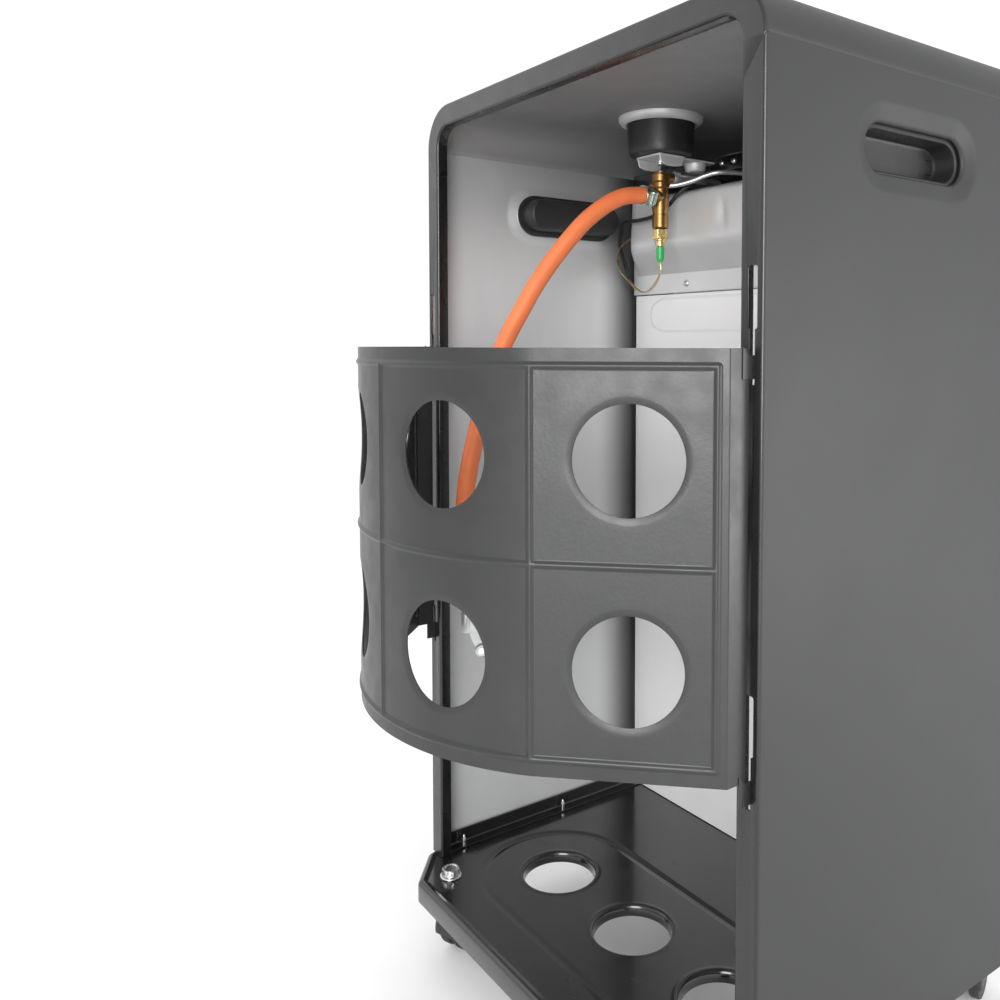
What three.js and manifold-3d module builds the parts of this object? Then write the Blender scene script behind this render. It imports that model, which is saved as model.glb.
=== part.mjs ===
// Outdoor gas cabinet heater, seen as a set of separate sheet, cast, moulded and turned pieces.
// Millimetres, +Z up. The burner faces -Y, the open bottle bay faces +Y.
// Inside this file y = 0 is the rear face of the cabinet's flanges; one group shifts it to the row's origin.

import * as THREE from 'three';
import * as BufferGeometryUtils from 'three/addons/utils/BufferGeometryUtils.js';
import Module from 'manifold-3d';

const wasm = await Module();
wasm.setup();

// ---- driving dimensions -------------------------------------------------------------------------

const WIDTH = 420;             // across the side panels
const DEPTH = 350;             // front fascia to rear flange
const TOP = 766;               // top panel above the floor
const PANEL_BOTTOM = 73;       // lower edge of the side panels above the floor
const SHEET = 1.5;             // sheet steel, drawn a little thick
const GAP = 0.3;               // clearance between touching pieces
const SHOULDER_R = 36;         // round shoulder between top and sides
const FLANGE = 19;             // rear flange width
const LIP = 10;                // depth of the return lip behind the flange

const HALF = WIDTH / 2;
const INNER = HALF - SHEET;    // inner face of a side panel
const SHOULDER_Z = TOP - SHOULDER_R;

const FLOOR_TOP = 72.5;        // upper face of the floor tray
const FLOOR_REAR = 36;         // how far the tray stands out behind the flanges
const FLOOR_HOLE_R = 32;
const FLOOR_HOLE_X = 106;
const FLOOR_HOLE_Y = -75;

const WALL_Y = -241;           // rear face of the panel between bottle bay and burner
const SEAM_Z = 605.5;          // where that panel meets the heat shield

const GUARD_Z0 = 294;
const GUARD_Z1 = 551;
const GUARD_RIB = [118, 100];  // half-plan corner between the flat wing and the curved middle
const GUARD_END = [203, 18];   // half-plan start of the flat wing
const GUARD_ARC_R = 187;       // plan radius of the curved middle
const GUARD_HOLE_R = 33.5;
const GUARD_HOLE_Z = [360, 485];
const GUARD_LIFT = 30;

const SLOT_X = 201.5;          // keyholes in the rear flanges
const SLOT_WIDE = 7.6;
const SLOT_NARROW = 4;
const HOOK_Z = [277, 530];     // lower end of each guard hook
const HOOK_H = 18;

const HANDLE_Y = -149.7;
const HANDLE_Z = 679.5;
const HANDLE_L = 108;
const HANDLE_H = 31.5;
const HANDLE_DEPTH = 26;

const VALVE = [93, -181];      // axis of knob, bowl and valve
const HOSE_R = 7.75;

const CASTOR_X = 160;
const CASTOR_Y = [7, -305];    // rear pair, front pair
const CASTOR_YAW = -70 * Math.PI / 180;
const CASTOR_TRAIL = 18;
const WHEEL_R = 22;

const WIRE_R = 1.6;            // burner guard wires
const WIRE_Y = -DEPTH - 5;

const PLAQUE_W = 94;
const PLAQUE_PITCH = 97;
const PLAQUE_Z = [561, 691];

const ROUND = 24;              // segments of a large round part
const SMALL = 12;              // segments of a small round part

// ---- materials ----------------------------------------------------------------------------------

const finish = (color, roughness, metalness) => new THREE.MeshStandardMaterial({ color, roughness, metalness });

const charcoalPaint = finish(0x4b4c4d, 0.5, 0.3);
const blackEnamel = finish(0x222325, 0.28, 0.2);
const blackPlastic = finish(0x161617, 0.5, 0.0);
const galvanised = finish(0xa3a5a7, 0.42, 0.85);
const aluminium = finish(0xc4c6c8, 0.35, 0.9);
const brass = finish(0xb28a45, 0.35, 0.95);
const zinc = finish(0xc9ccd0, 0.3, 0.95);
const chrome = finish(0xd5d8dc, 0.18, 1.0);
const ceramic = finish(0xd9cdb8, 0.9, 0.0);
const orangeRubber = finish(0xe8663a, 0.55, 0.0);
const greenPlastic = finish(0x2aa345, 0.4, 0.0);
const copper = finish(0xb98a70, 0.4, 0.8);

// ---- solid helpers ------------------------------------------------------------------------------

function toSolid(geometry) {
  const bare = (geometry.index ? geometry.toNonIndexed() : geometry.clone());
  bare.deleteAttribute('normal');
  bare.deleteAttribute('uv');
  const merged = BufferGeometryUtils.mergeVertices(bare, 1e-4);
  return new wasm.Manifold(new wasm.Mesh({
    numProp: 3,
    vertProperties: new Float32Array(merged.attributes.position.array),
    triVerts: new Uint32Array(merged.index.array),
  }));
}

function toGeometry(solid) {
  const mesh = solid.getMesh();
  const geometry = new THREE.BufferGeometry();
  geometry.setAttribute('position', new THREE.BufferAttribute(new Float32Array(mesh.vertProperties), 3));
  geometry.setIndex(new THREE.BufferAttribute(new Uint32Array(mesh.triVerts), 1));
  return geometry;
}

const fuse = (first, ...rest) => toGeometry(rest.reduce((sum, g) => sum.add(toSolid(g)), toSolid(first)));
const cut = (body, ...tools) => toGeometry(tools.reduce((sum, g) => sum.subtract(toSolid(g)), toSolid(body)));
const common = (a, b) => toGeometry(toSolid(a).intersect(toSolid(b)));

function box(x0, x1, y0, y1, z0, z1) {
  const g = new THREE.BoxGeometry(Math.abs(x1 - x0), Math.abs(y1 - y0), Math.abs(z1 - z0));
  return g.translate((x0 + x1) / 2, (y0 + y1) / 2, (z0 + z1) / 2);
}

// A cylinder from point a towards direction axis ('x', 'y' or 'z'), length along it.
function rod(axis, radius, from, length, sides = SMALL) {
  const g = new THREE.CylinderGeometry(radius, radius, Math.abs(length), sides);
  if (axis === 'x') g.rotateZ(-Math.PI / 2);
  if (axis === 'z') g.rotateX(Math.PI / 2);
  const shift = { x: [length / 2, 0, 0], y: [0, length / 2, 0], z: [0, 0, length / 2] }[axis];
  return g.translate(from[0] + shift[0], from[1] + shift[1], from[2] + shift[2]);
}

function tubeAlong(axis, outer, inner, from, length, sides = ROUND) {
  const over = Math.sign(length);
  const start = from.map((v, i) => v - ('xyz'[i] === axis ? over : 0));
  return cut(rod(axis, outer, from, length, sides), rod(axis, inner, start, length + 2 * over, sides));
}

// A turned piece: profile is [radius, z] pairs from the axis round to the axis, about a vertical axis at [x, y].
function turned(profile, x, y, sides = ROUND) {
  const points = profile.map(([r, z]) => new THREE.Vector2(r, z));
  const g = new THREE.LatheGeometry(points, sides);
  return g.rotateX(Math.PI / 2).translate(x, y, 0);
}

// Extrude a shape drawn in plan (x, y) between two heights.
function plan(shape, z0, z1, curveSegments = 12) {
  return new THREE.ExtrudeGeometry(shape, { depth: z1 - z0, bevelEnabled: false, curveSegments }).translate(0, 0, z0);
}

// Extrude a shape drawn in elevation (x, z) between two depths.
function elevation(shape, y0, y1, curveSegments = 12) {
  const g = new THREE.ExtrudeGeometry(shape, { depth: y1 - y0, bevelEnabled: false, curveSegments });
  return g.rotateX(Math.PI / 2).translate(0, y1, 0);
}

// Extrude a shape drawn in side view (y, z) between two x planes.
function sideways(shape, x0, x1, curveSegments = 12) {
  const g = new THREE.ExtrudeGeometry(shape, { depth: x1 - x0, bevelEnabled: false, curveSegments });
  return g.rotateX(Math.PI / 2).rotateZ(Math.PI / 2).translate(x0, 0, 0);
}

function polygon(points) {
  return new THREE.Shape(points.map(([a, b]) => new THREE.Vector2(a, b)));
}

// A stadium: two half circles of height `high` joined over a total `long`.
function stadium(cx, cy, long, high) {
  const r = high / 2;
  const half = long / 2 - r;
  const shape = new THREE.Shape();
  shape.absarc(cx + half, cy, r, -Math.PI / 2, Math.PI / 2, false);
  shape.absarc(cx - half, cy, r, Math.PI / 2, 3 * Math.PI / 2, false);
  return shape;
}

function roundedRect(x0, x1, y0, y1, r) {
  const shape = new THREE.Shape();
  shape.absarc(x1 - r, y0 + r, r, -Math.PI / 2, 0, false);
  shape.absarc(x1 - r, y1 - r, r, 0, Math.PI / 2, false);
  shape.absarc(x0 + r, y1 - r, r, Math.PI / 2, Math.PI, false);
  shape.absarc(x0 + r, y0 + r, r, Math.PI, 1.5 * Math.PI, false);
  return shape;
}

// A round bar along a smooth curve through the points.
function pipe(points, radius, sides, steps) {
  const curve = new THREE.CatmullRomCurve3(points.map((p) => new THREE.Vector3(...p)), false, 'centripetal');
  const section = new THREE.Shape();
  for (let i = 0; i < sides; i++) {
    const a = 2 * Math.PI * i / sides;
    const x = radius * Math.cos(a);
    const y = radius * Math.sin(a);
    if (i === 0) section.moveTo(x, y);
    else section.lineTo(x, y);
  }
  return new THREE.ExtrudeGeometry(section, { extrudePath: curve, steps, bevelEnabled: false });
}

// A solid between two rectangles [x0, x1, z0, z1] standing at two depths.
function taper(front, yFront, back, yBack) {
  const corner = ([x0, x1, z0, z1], y) => [[x0, y, z0], [x1, y, z0], [x1, y, z1], [x0, y, z1]];
  const position = [...corner(front, yFront), ...corner(back, yBack)].flat();
  const g = new THREE.BufferGeometry();
  g.setAttribute('position', new THREE.Float32BufferAttribute(position, 3));
  g.setIndex([0, 1, 2, 0, 2, 3, 5, 4, 7, 5, 7, 6, 4, 5, 1, 4, 1, 0, 3, 2, 6, 3, 6, 7, 4, 0, 3, 4, 3, 7, 1, 5, 6, 1, 6, 2]);
  return g;
}

// ---- scene --------------------------------------------------------------------------------------

const heater = new THREE.Group();
const ARC_HALF_ANGLE = Math.asin(GUARD_RIB[0] / GUARD_ARC_R);
const ARC_CENTRE_Y = GUARD_RIB[1] - GUARD_ARC_R * Math.cos(ARC_HALF_ANGLE);
const frontmost = WIRE_Y - WIRE_R;
const rearmost = ARC_CENTRE_Y + GUARD_ARC_R;
heater.position.y = -(frontmost + rearmost) / 2;

function add(name, geometry, material, parent = heater) {
  const mesh = new THREE.Mesh(geometry, material);
  mesh.name = name;
  parent.add(mesh);
  return mesh;
}

// ---- cabinet shell ------------------------------------------------------------------------------

function keyhole(x, hookZ) {
  const neckTop = hookZ + HOOK_H + 12;
  const narrow = box(x - SLOT_NARROW / 2, x + SLOT_NARROW / 2, -4, 2, hookZ + 3 - GAP, neckTop + 1);
  const wide = roundedRect(x - SLOT_WIDE / 2, x + SLOT_WIDE / 2, neckTop, neckTop + 37, 3.2);
  return fuse(narrow, elevation(wide, -4, 2, 4));
}

function sidePanel(side) {
  const outer = side * HALF;
  const z1 = SHOULDER_Z - GAP;
  const skin = box(outer, outer - side * SHEET, -DEPTH, 0, PANEL_BOTTOM, z1);
  const flange = box(outer, outer - side * FLANGE, -SHEET, 0, PANEL_BOTTOM, z1);
  const lip = box(outer - side * (FLANGE - SHEET), outer - side * FLANGE, -LIP, 0, PANEL_BOTTOM, z1);
  const grip = sideways(stadium(HANDLE_Y, HANDLE_Z, HANDLE_L, HANDLE_H), outer - 5, outer + 5, 8);
  return cut(fuse(skin, flange, lip), grip, ...HOOK_Z.map((z) => keyhole(side * SLOT_X, z)));
}

add('side_panel_left', sidePanel(-1), charcoalPaint);
add('side_panel_right', sidePanel(1), charcoalPaint);

// The shoulder path at a given inset from the outer surface, as an upside-down U down to the side seam.
function shoulder(inset) {
  const r = SHOULDER_R - inset;
  const shape = new THREE.Shape();
  shape.moveTo(HALF - inset, SHOULDER_Z);
  shape.absarc(HALF - SHOULDER_R, SHOULDER_Z, r, 0, Math.PI / 2, false);
  shape.absarc(SHOULDER_R - HALF, SHOULDER_Z, r, Math.PI / 2, Math.PI, false);
  shape.closePath();
  return shape;
}

function shoulderBand(outerInset, innerInset, y0, y1) {
  const inner = elevation(shoulder(innerInset), y0 - 1, y1 + 1, 8).translate(0, 0, -0.001);
  const below = box(-HALF, HALF, y0 - 1, y1 + 1, SHOULDER_Z - 2, SHOULDER_Z);
  return cut(elevation(shoulder(outerInset), y0, y1, 8), inner, below);
}

function topPanel() {
  const skin = shoulderBand(0, SHEET, -DEPTH, 0);
  const flange = shoulderBand(0, FLANGE, -SHEET, 0);
  const lip = shoulderBand(FLANGE - SHEET, FLANGE, -LIP, 0);
  return cut(fuse(skin, flange, lip), rod('z', 32, [...VALVE, TOP - 10], 20, ROUND));
}

add('top_panel', topPanel(), charcoalPaint);

function handleCup(side) {
  const face = side * (INNER - GAP);
  const inward = -side;
  const slab = (long, high, from, to) =>
    sideways(stadium(HANDLE_Y, HANDLE_Z, long, high), Math.min(from, to), Math.max(from, to), 8);
  const flange = slab(HANDLE_L + 8, HANDLE_H + 8, face, face + inward * 1.6);
  const cup = slab(HANDLE_L - 1, HANDLE_H - 1, face + inward * 0.2, face + inward * HANDLE_DEPTH);
  const hollow = slab(HANDLE_L - 5, HANDLE_H - 5, face - inward * 2, face + inward * (HANDLE_DEPTH - 2));
  return cut(fuse(flange, cup), hollow);
}

add('handle_cup_left', handleCup(-1), blackPlastic);
add('handle_cup_right', handleCup(1), blackPlastic);

// ---- floor tray ---------------------------------------------------------------------------------

function floorTray() {
  const side = INNER - 2.3;
  const outline = (inset) => polygon([
    [-side + inset, -DEPTH + 2.5 + inset], [side - inset, -DEPTH + 2.5 + inset],
    [side - inset, 6 - 0.4 * inset], [168 - 0.4 * inset, FLOOR_REAR - inset],
    [-168 + 0.4 * inset, FLOOR_REAR - inset], [-side + inset, 6 - 0.4 * inset],
  ]);
  const plate = plan(outline(0), FLOOR_TOP - SHEET, FLOOR_TOP);
  const rim = cut(plan(outline(0), FLOOR_TOP - 16.5, FLOOR_TOP), plan(outline(SHEET), 0, TOP));
  const rear = common(rim, box(-HALF, HALF, -1, 50, 0, TOP));
  const left = box(-side, -side + SHEET, -DEPTH + 2.5, -3, FLOOR_TOP - SHEET, FLOOR_TOP + 14);
  const right = box(side - SHEET, side, -DEPTH + 2.5, -3, FLOOR_TOP - SHEET, FLOOR_TOP + 14);
  const front = box(-side, side, -DEPTH + 2.5, -DEPTH + 4, FLOOR_TOP - SHEET, FLOOR_TOP + 14);
  const holes = [-1, 0, 1].map((i) =>
    rod('z', FLOOR_HOLE_R, [i * FLOOR_HOLE_X, FLOOR_HOLE_Y, FLOOR_TOP - 10], 20, ROUND));
  const bolts = [-1, 1].flatMap((i) => CASTOR_Y.map((y) =>
    rod('z', 4.6, [i * CASTOR_X, y, FLOOR_TOP - 10], 20, SMALL)));
  return cut(fuse(plate, rear, left, right, front), ...holes, ...bolts);
}

add('floor_tray', floorTray(), blackEnamel);

// ---- wall between bottle bay and burner ---------------------------------------------------------

add('inner_panel', box(-204, 204, WALL_Y - SHEET, WALL_Y, FLOOR_TOP + 0.7, SEAM_Z - GAP), galvanised);

function heatShield() {
  const wall = 1.4;
  const z0 = SEAM_Z + GAP;
  const base = box(-205, 205, WALL_Y - wall, WALL_Y, z0, 706);
  const dome = taper([-203, 198, 626, 705.5], WALL_Y - wall, [-170, 172, 650, 697], -206);
  const inside = taper([-201.2, 196.2, 628, 703.7], WALL_Y - wall - 0.5, [-168.8, 170.8, 651.2, 695.8], -206 - wall);
  return cut(fuse(base, dome), inside);
}

add('heat_shield', heatShield(), galvanised);
add('cross_rail', fuse(
  box(-207.5, 207.5, WALL_Y - SHEET, WALL_Y, 719, 733),
  box(-207.5, 207.5, WALL_Y - 24, WALL_Y, 731.5, 733),
), blackEnamel);

// ---- front of the cabinet -----------------------------------------------------------------------

const FASCIA_Z = 490;

function fascia() {
  const x = INNER - GAP;
  const outline = new THREE.Shape();
  outline.moveTo(-x, FASCIA_Z);
  outline.lineTo(x, FASCIA_Z);
  outline.absarc(HALF - SHOULDER_R, SHOULDER_Z, SHOULDER_R - SHEET - GAP, 0, Math.PI / 2, false);
  outline.absarc(SHOULDER_R - HALF, SHOULDER_Z, SHOULDER_R - SHEET - GAP, Math.PI / 2, Math.PI, false);
  outline.closePath();
  const opening = elevation(roundedRect(-168, 168, 520, 722, 10), -DEPTH - 5, -DEPTH + 5, 4);
  return cut(elevation(outline, -DEPTH, -DEPTH + SHEET, 8), opening);
}

add('front_fascia', fascia(), charcoalPaint);

function lowerPanel() {
  const x = INNER - GAP;
  const louvres = [];
  for (let row = 0; row < 5; row++) {
    const z = 110 + row * 16;
    louvres.push(elevation(stadium(0, z, 180, 6), -DEPTH - 5, -DEPTH + 5, 3));
  }
  return cut(box(-x, x, -DEPTH, -DEPTH + SHEET, PANEL_BOTTOM + 1, FASCIA_Z - GAP), ...louvres);
}

add('front_lower_panel', lowerPanel(), charcoalPaint);

function reflector() {
  const t = 1.3;
  const front = -DEPTH + SHEET + GAP;
  const back = -288;
  const shell = taper([-167, 167, 521, 721], front, [-148, 148, 556, 696], back);
  const lumen = taper([-167 + t, 167 - t, 521 + t, 721 - t], front - 0.01,
    [-148 + t, 148 - t, 556 + t, 696 - t], back + 0.01);
  return cut(shell, lumen);
}

add('burner_reflector', reflector(), chrome);

add('burner_box', cut(
  box(-148, 148, -287.7, -250, 556, 696),
  box(-146, 146, -290, -252, 558, 694),
), galvanised);

for (let i = -1; i <= 1; i++) {
  const x = i * PLAQUE_PITCH;
  add(`ceramic_plaque_${i + 2}`, box(x - PLAQUE_W / 2, x + PLAQUE_W / 2, -286.5, -273.5, ...PLAQUE_Z), ceramic);
}

add('burner_venturi', cut(
  rod('x', 12.5, [-120, -268, 543], 180, ROUND),
  rod('x', 11, [-110, -268, 543], 180, ROUND),
), galvanised);

function wireGuard() {
  const wires = [];
  for (let i = 0; i < 9; i++) {
    wires.push(rod('x', WIRE_R, [-172, WIRE_Y, 527 + i * 23.5], 344, 8));
  }
  for (const x of [-171, -57, 57, 171]) {
    wires.push(rod('z', WIRE_R, [x, WIRE_Y + 2.2, 516], 210, 8));
  }
  return fuse(...wires);
}

add('wire_guard', wireGuard(), chrome);

add('pilot_burner', fuse(
  box(-36, -6, -338, -318, 541, 543),
  rod('z', 5, [-14, -329, 542], 14, SMALL),
  box(-30, -24, -332, -326, 542, 553),
), galvanised);
add('spark_electrode', fuse(
  rod('z', 2.6, [-27, -329, 553.3], 12, 8),
  rod('z', 1, [-27, -329, 564], 8, 6),
), ceramic);

// ---- control: bowl, collar, knob, spindle -------------------------------------------------------

add('control_bowl', turned([
  [7, 729], [29.5, 729], [31, 735], [31.4, TOP + GAP], [37, TOP + GAP], [36.5, TOP + 2],
  [29.6, TOP + 2], [29, 737], [28, 731], [7, 731], [7, 729],
], ...VALVE), blackPlastic);
add('bowl_collar', turned([
  [31.9, 758.5], [37.9, 760], [37.9, 764.2], [31.9, 764.2], [31.9, 758.5],
], ...VALVE), galvanised);

add('valve_spindle', turned([[0, 721.5], [3.5, 721.5], [3.5, 741.5], [0, 741.5]], ...VALVE, SMALL), zinc);

function knob() {
  const body = turned([
    [4.2, 739], [25, 739], [25.6, 742], [24, 772], [22.5, 774], [0, 774], [0, 742.5], [4.2, 742.5], [4.2, 739],
  ], ...VALVE);
  const flutes = [];
  for (let i = 0; i < 12; i++) {
    const a = 2 * Math.PI * i / 12 + 0.13;
    flutes.push(rod('z', 2.2, [VALVE[0] + 26 * Math.cos(a), VALVE[1] + 26 * Math.sin(a), 744], 40, 6));
  }
  const pointer = box(VALVE[0] - 1.5, VALVE[0] + 1.5, VALVE[1] - 20, VALVE[1] - 8, 773.5, 775.2);
  return fuse(cut(body, ...flutes), pointer);
}

add('control_knob', knob(), blackPlastic);

// ---- valve and gas line -------------------------------------------------------------------------

add('valve_bracket', cut(
  fuse(
    box(VALVE[0] - 18, VALVE[0] + 18, VALVE[1] - 18, VALVE[1] + 16, 726.5, 728.5),
    box(VALVE[0] - 18, VALVE[0] - 16, VALVE[1] - 18, VALVE[1] + 16, 717.5, 728.5),
    box(VALVE[0] + 16, VALVE[0] + 18, VALVE[1] - 18, VALVE[1] + 16, 717.5, 728.5),
    box(VALVE[0] - 14, VALVE[0] + 14, WALL_Y + GAP, VALVE[1] - 16, 726.5, 728.5),
    box(VALVE[0] - 14, VALVE[0] + 14, WALL_Y + GAP, WALL_Y + GAP + 2, 719, 728.5),
  ),
  rod('z', 5, [...VALVE, 720], 20, SMALL),
), galvanised);

const HOSE_Z = 691;

function valveBody() {
  const [x, y] = VALVE;
  return fuse(
    turned([[0, 662], [7, 662], [8, 664], [8, 699], [6.6, 701], [6.6, 705], [8.4, 707], [8.4, 715.6], [0, 715.6]], x, y, 16),
    rod('y', 8.8, [x, y, HOSE_Z], 11.5, 16),
    rod('y', 5.2, [x, y, 711], -14, SMALL),
    rod('x', 5, [x, y, 703], 12, SMALL),
  );
}

add('valve_body', valveBody(), brass);
add('magnet_nut', fuse(
  rod('z', 7.6, [...VALVE, 651.7], 10, 6),
  rod('z', 4.8, [...VALVE, 645], 8, SMALL),
), brass);
add('magnet_plug', turned([[0, 631], [3, 631], [3.9, 633], [3.9, 644.7], [0, 644.7]], ...VALVE, SMALL), greenPlastic);

add('burner_feed_pipe', pipe([
  [93, -195.3, 711], [93, -215, 711.5], [93, -240, 712.3], [96, -258, 712], [115, -266, 711], [145, -268, 708],
  [163, -268, 694], [168, -268, 670], [168, -268, 610], [167, -268, 566], [160, -268, 549], [143, -268, 543],
  [110, -268, 543], [75, -268, 543],
], 3.5, 8, 46), aluminium);

add('thermocouple_wire', pipe([
  [93, -181, 630.7], [94, -182, 622], [103, -185, 613], [116, -188, 606.5], [129, -191, 604.6], [145, -196, 608],
  [163, -200, 617], [180, -203, 627], [191, -206, 639], [195, -211, 651], [195.5, -218, 659], [194, -226, 664.5],
  [193, -231, 667],
], 1.3, 6, 36), copper);

add('ignition_lead', pipe([
  [60, -285, 715.2], [61, -278, 712.6], [64, -262, 712.4], [69, -240, 712.6], [73, -226, 712.5], [79, -212, 708], [88, -200.5, 697], [101, -196.5, 685], [122, -197, 678],
  [146, -199.5, 677], [163, -200, 677.5], [177, -203.5, 677], [190, -210.5, 672], [199.5, -216, 657], [203, -227, 636],
  [202.8, -236, 612],
], 1.9, 6, 40), blackPlastic);

add('piezo_igniter', fuse(
  rod('z', 8, [60, -285, 717.5], 42, 16),
  rod('z', 11, [60, -285, 758], 6.2, 16),
), blackPlastic);

// ---- hose and regulator -------------------------------------------------------------------------

const HOSE_ROUTE = [
  [93, -169.2, 691], [93.4, -158, 691], [95, -142, 689], [97.5, -128, 683.5], [100.5, -115, 675], [104, -101, 663],
  [108, -88, 648], [112, -77, 633.5], [116, -66, 617.5], [119.5, -55.5, 600.5], [122.5, -46, 583], [126, -31, 555],
  [128.7, -17, 520], [130, -6, 481], [130, 3, 445], [128, 8.5, 411], [123, 9.5, 379], [118, 9, 352],
];
add('gas_hose', pipe(HOSE_ROUTE, HOSE_R, 10, 34), orangeRubber);

function hoseClamp(width) {
  const band = cut(
    rod('z', HOSE_R + 1.9, [0, 0, 0], width, 16),
    rod('z', HOSE_R + 0.5, [0, 0, -2], width + 4, 16),
  );
  return fuse(band, box(-4, 4, HOSE_R + 1.2, HOSE_R + 6, 0.5, width - 0.5), rod('x', 2.4, [-8, HOSE_R + 3.6, width / 2], 16, 8));
}

// Stand a clamp on the hose, its own z along the hose.
function placeClamp(name, width, at, along, turn) {
  const geometry = hoseClamp(width).rotateZ(turn);
  const clamp = add(name, geometry, zinc);
  clamp.quaternion.setFromUnitVectors(new THREE.Vector3(0, 0, 1), new THREE.Vector3(...along).normalize());
  clamp.position.set(...at);
}

placeClamp('valve_hose_clamp', 9, [93.1, -167.2, 691], [0.4, 11.2, 0], Math.PI);
placeClamp('regulator_hose_clamp', 8, [119.1, 9.1, 358], [5, 0.5, 27], -0.9);

// The regulator hangs from the hose; its group's z is the hose's last direction, x runs across the disc.
const regulator = new THREE.Group();
regulator.position.set(117.6, 9, 351.2);
regulator.rotation.z = Math.atan2(0.7925, 0.6099);
heater.add(regulator);

const DISC_X = -31;
const DISC_Z = -37;
const regulatorBody = fuse(
  rod('z', 6, [0, 0, -30], 29.6, SMALL),
  rod('z', 8.2, [0, 0, -44], 18, 16),
  box(0, DISC_X, -7, 7, -44, -30),
  rod('y', 30, [DISC_X, -9, DISC_Z], 13, ROUND),
  rod('y', 17, [DISC_X, -20, DISC_Z], 12, ROUND),
);
add('regulator_body', cut(regulatorBody, rod('y', 36, [DISC_X, 4, DISC_Z], 20, ROUND)), aluminium, regulator);

function regulatorCover() {
  const parts = [rod('y', 31.5, [DISC_X, 4.3, DISC_Z], 4, ROUND), rod('y', 22, [DISC_X, 8, DISC_Z], 6, ROUND)];
  for (let i = 0; i < 4; i++) {
    const a = Math.PI / 4 + i * Math.PI / 2;
    parts.push(rod('y', 6, [DISC_X + 29 * Math.cos(a), 4.3, DISC_Z + 29 * Math.sin(a)], 7, SMALL));
  }
  return fuse(...parts);
}

add('regulator_cover', regulatorCover(), aluminium, regulator);
add('regulator_coupling', tubeAlong('y', 18, 13, [DISC_X, -20.3, DISC_Z], -16), brass, regulator);
add('regulator_tap', fuse(
  rod('y', 9, [DISC_X, 14.4, DISC_Z], 7, 16),
  box(DISC_X - 3, DISC_X + 3, 16, 21.4, DISC_Z - 19, DISC_Z + 8),
), blackPlastic, regulator);

// ---- bottle guard -------------------------------------------------------------------------------

// Plan of one half from the outer edge to the middle, at an inset towards the cabinet, mirrored for the other half.
function guardOutline(thickness) {
  const side = (r, inset) => {
    const half = [];
    for (let i = 0; i <= 6; i++) {
      const a = ARC_HALF_ANGLE * (1 - i / 6);
      half.push([-r * Math.sin(a), ARC_CENTRE_Y + r * Math.cos(a)]);
    }
    const wing = [-GUARD_END[0] + inset, GUARD_END[1] - 0.4 * inset];
    return [wing, ...half, ...half.slice(0, -1).reverse().map(([x, y]) => [-x, y]), [-wing[0], wing[1]]];
  };
  const outer = side(GUARD_ARC_R, 0);
  const inner = side(GUARD_ARC_R - thickness, 1.4 * thickness);
  return polygon([...outer, ...inner.reverse()]);
}

function bottleGuard() {
  const sheet = 1.6;
  const wall = plan(guardOutline(sheet), GUARD_Z0, GUARD_Z1);
  const pieces = [];
  const tools = [];
  const wingAngle = Math.atan2(GUARD_RIB[1] - GUARD_END[1], GUARD_END[0] - GUARD_RIB[0]);
  const wingMiddle = [(GUARD_END[0] + GUARD_RIB[0]) / 2, (GUARD_END[1] + GUARD_RIB[1]) / 2];
  const columnAngle = ARC_HALF_ANGLE / 2;
  for (const side of [-1, 1]) {
    const x = side * GUARD_END[0];
    pieces.push(box(x, x - side * sheet, 2, GUARD_END[1] + 0.5, GUARD_Z0, GUARD_Z1));
    for (const z of HOOK_Z) {
      const hook = polygon([[3, z + 3], [3, z + HOOK_H - 1], [-6, z + HOOK_H - 1], [-6, z], [-3, z], [-3, z + 3]]);
      pieces.push(sideways(hook, Math.min(x, x - side * sheet), Math.max(x, x - side * sheet)));
      pieces.push(box(x, x - side * sheet, 2, 8, z + 3, z + HOOK_H + 6));
    }
    for (const z of GUARD_HOLE_Z) {
      const wingHole = new THREE.CylinderGeometry(GUARD_HOLE_R, GUARD_HOLE_R, 16, ROUND);
      wingHole.rotateZ(side * -wingAngle).translate(side * wingMiddle[0], wingMiddle[1], z);
      const arcHole = new THREE.CylinderGeometry(GUARD_HOLE_R, GUARD_HOLE_R, 24, ROUND);
      arcHole.rotateZ(side * -columnAngle);
      const column = [side * GUARD_ARC_R * Math.sin(columnAngle), ARC_CENTRE_Y + GUARD_ARC_R * Math.cos(columnAngle)];
      arcHole.translate(...column, z);
      tools.push(wingHole, arcHole);
    }
  }
  return cut(fuse(wall, ...pieces), ...tools);
}

add('bottle_guard', bottleGuard(), blackEnamel);

// ---- castors ------------------------------------------------------------------------------------

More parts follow.
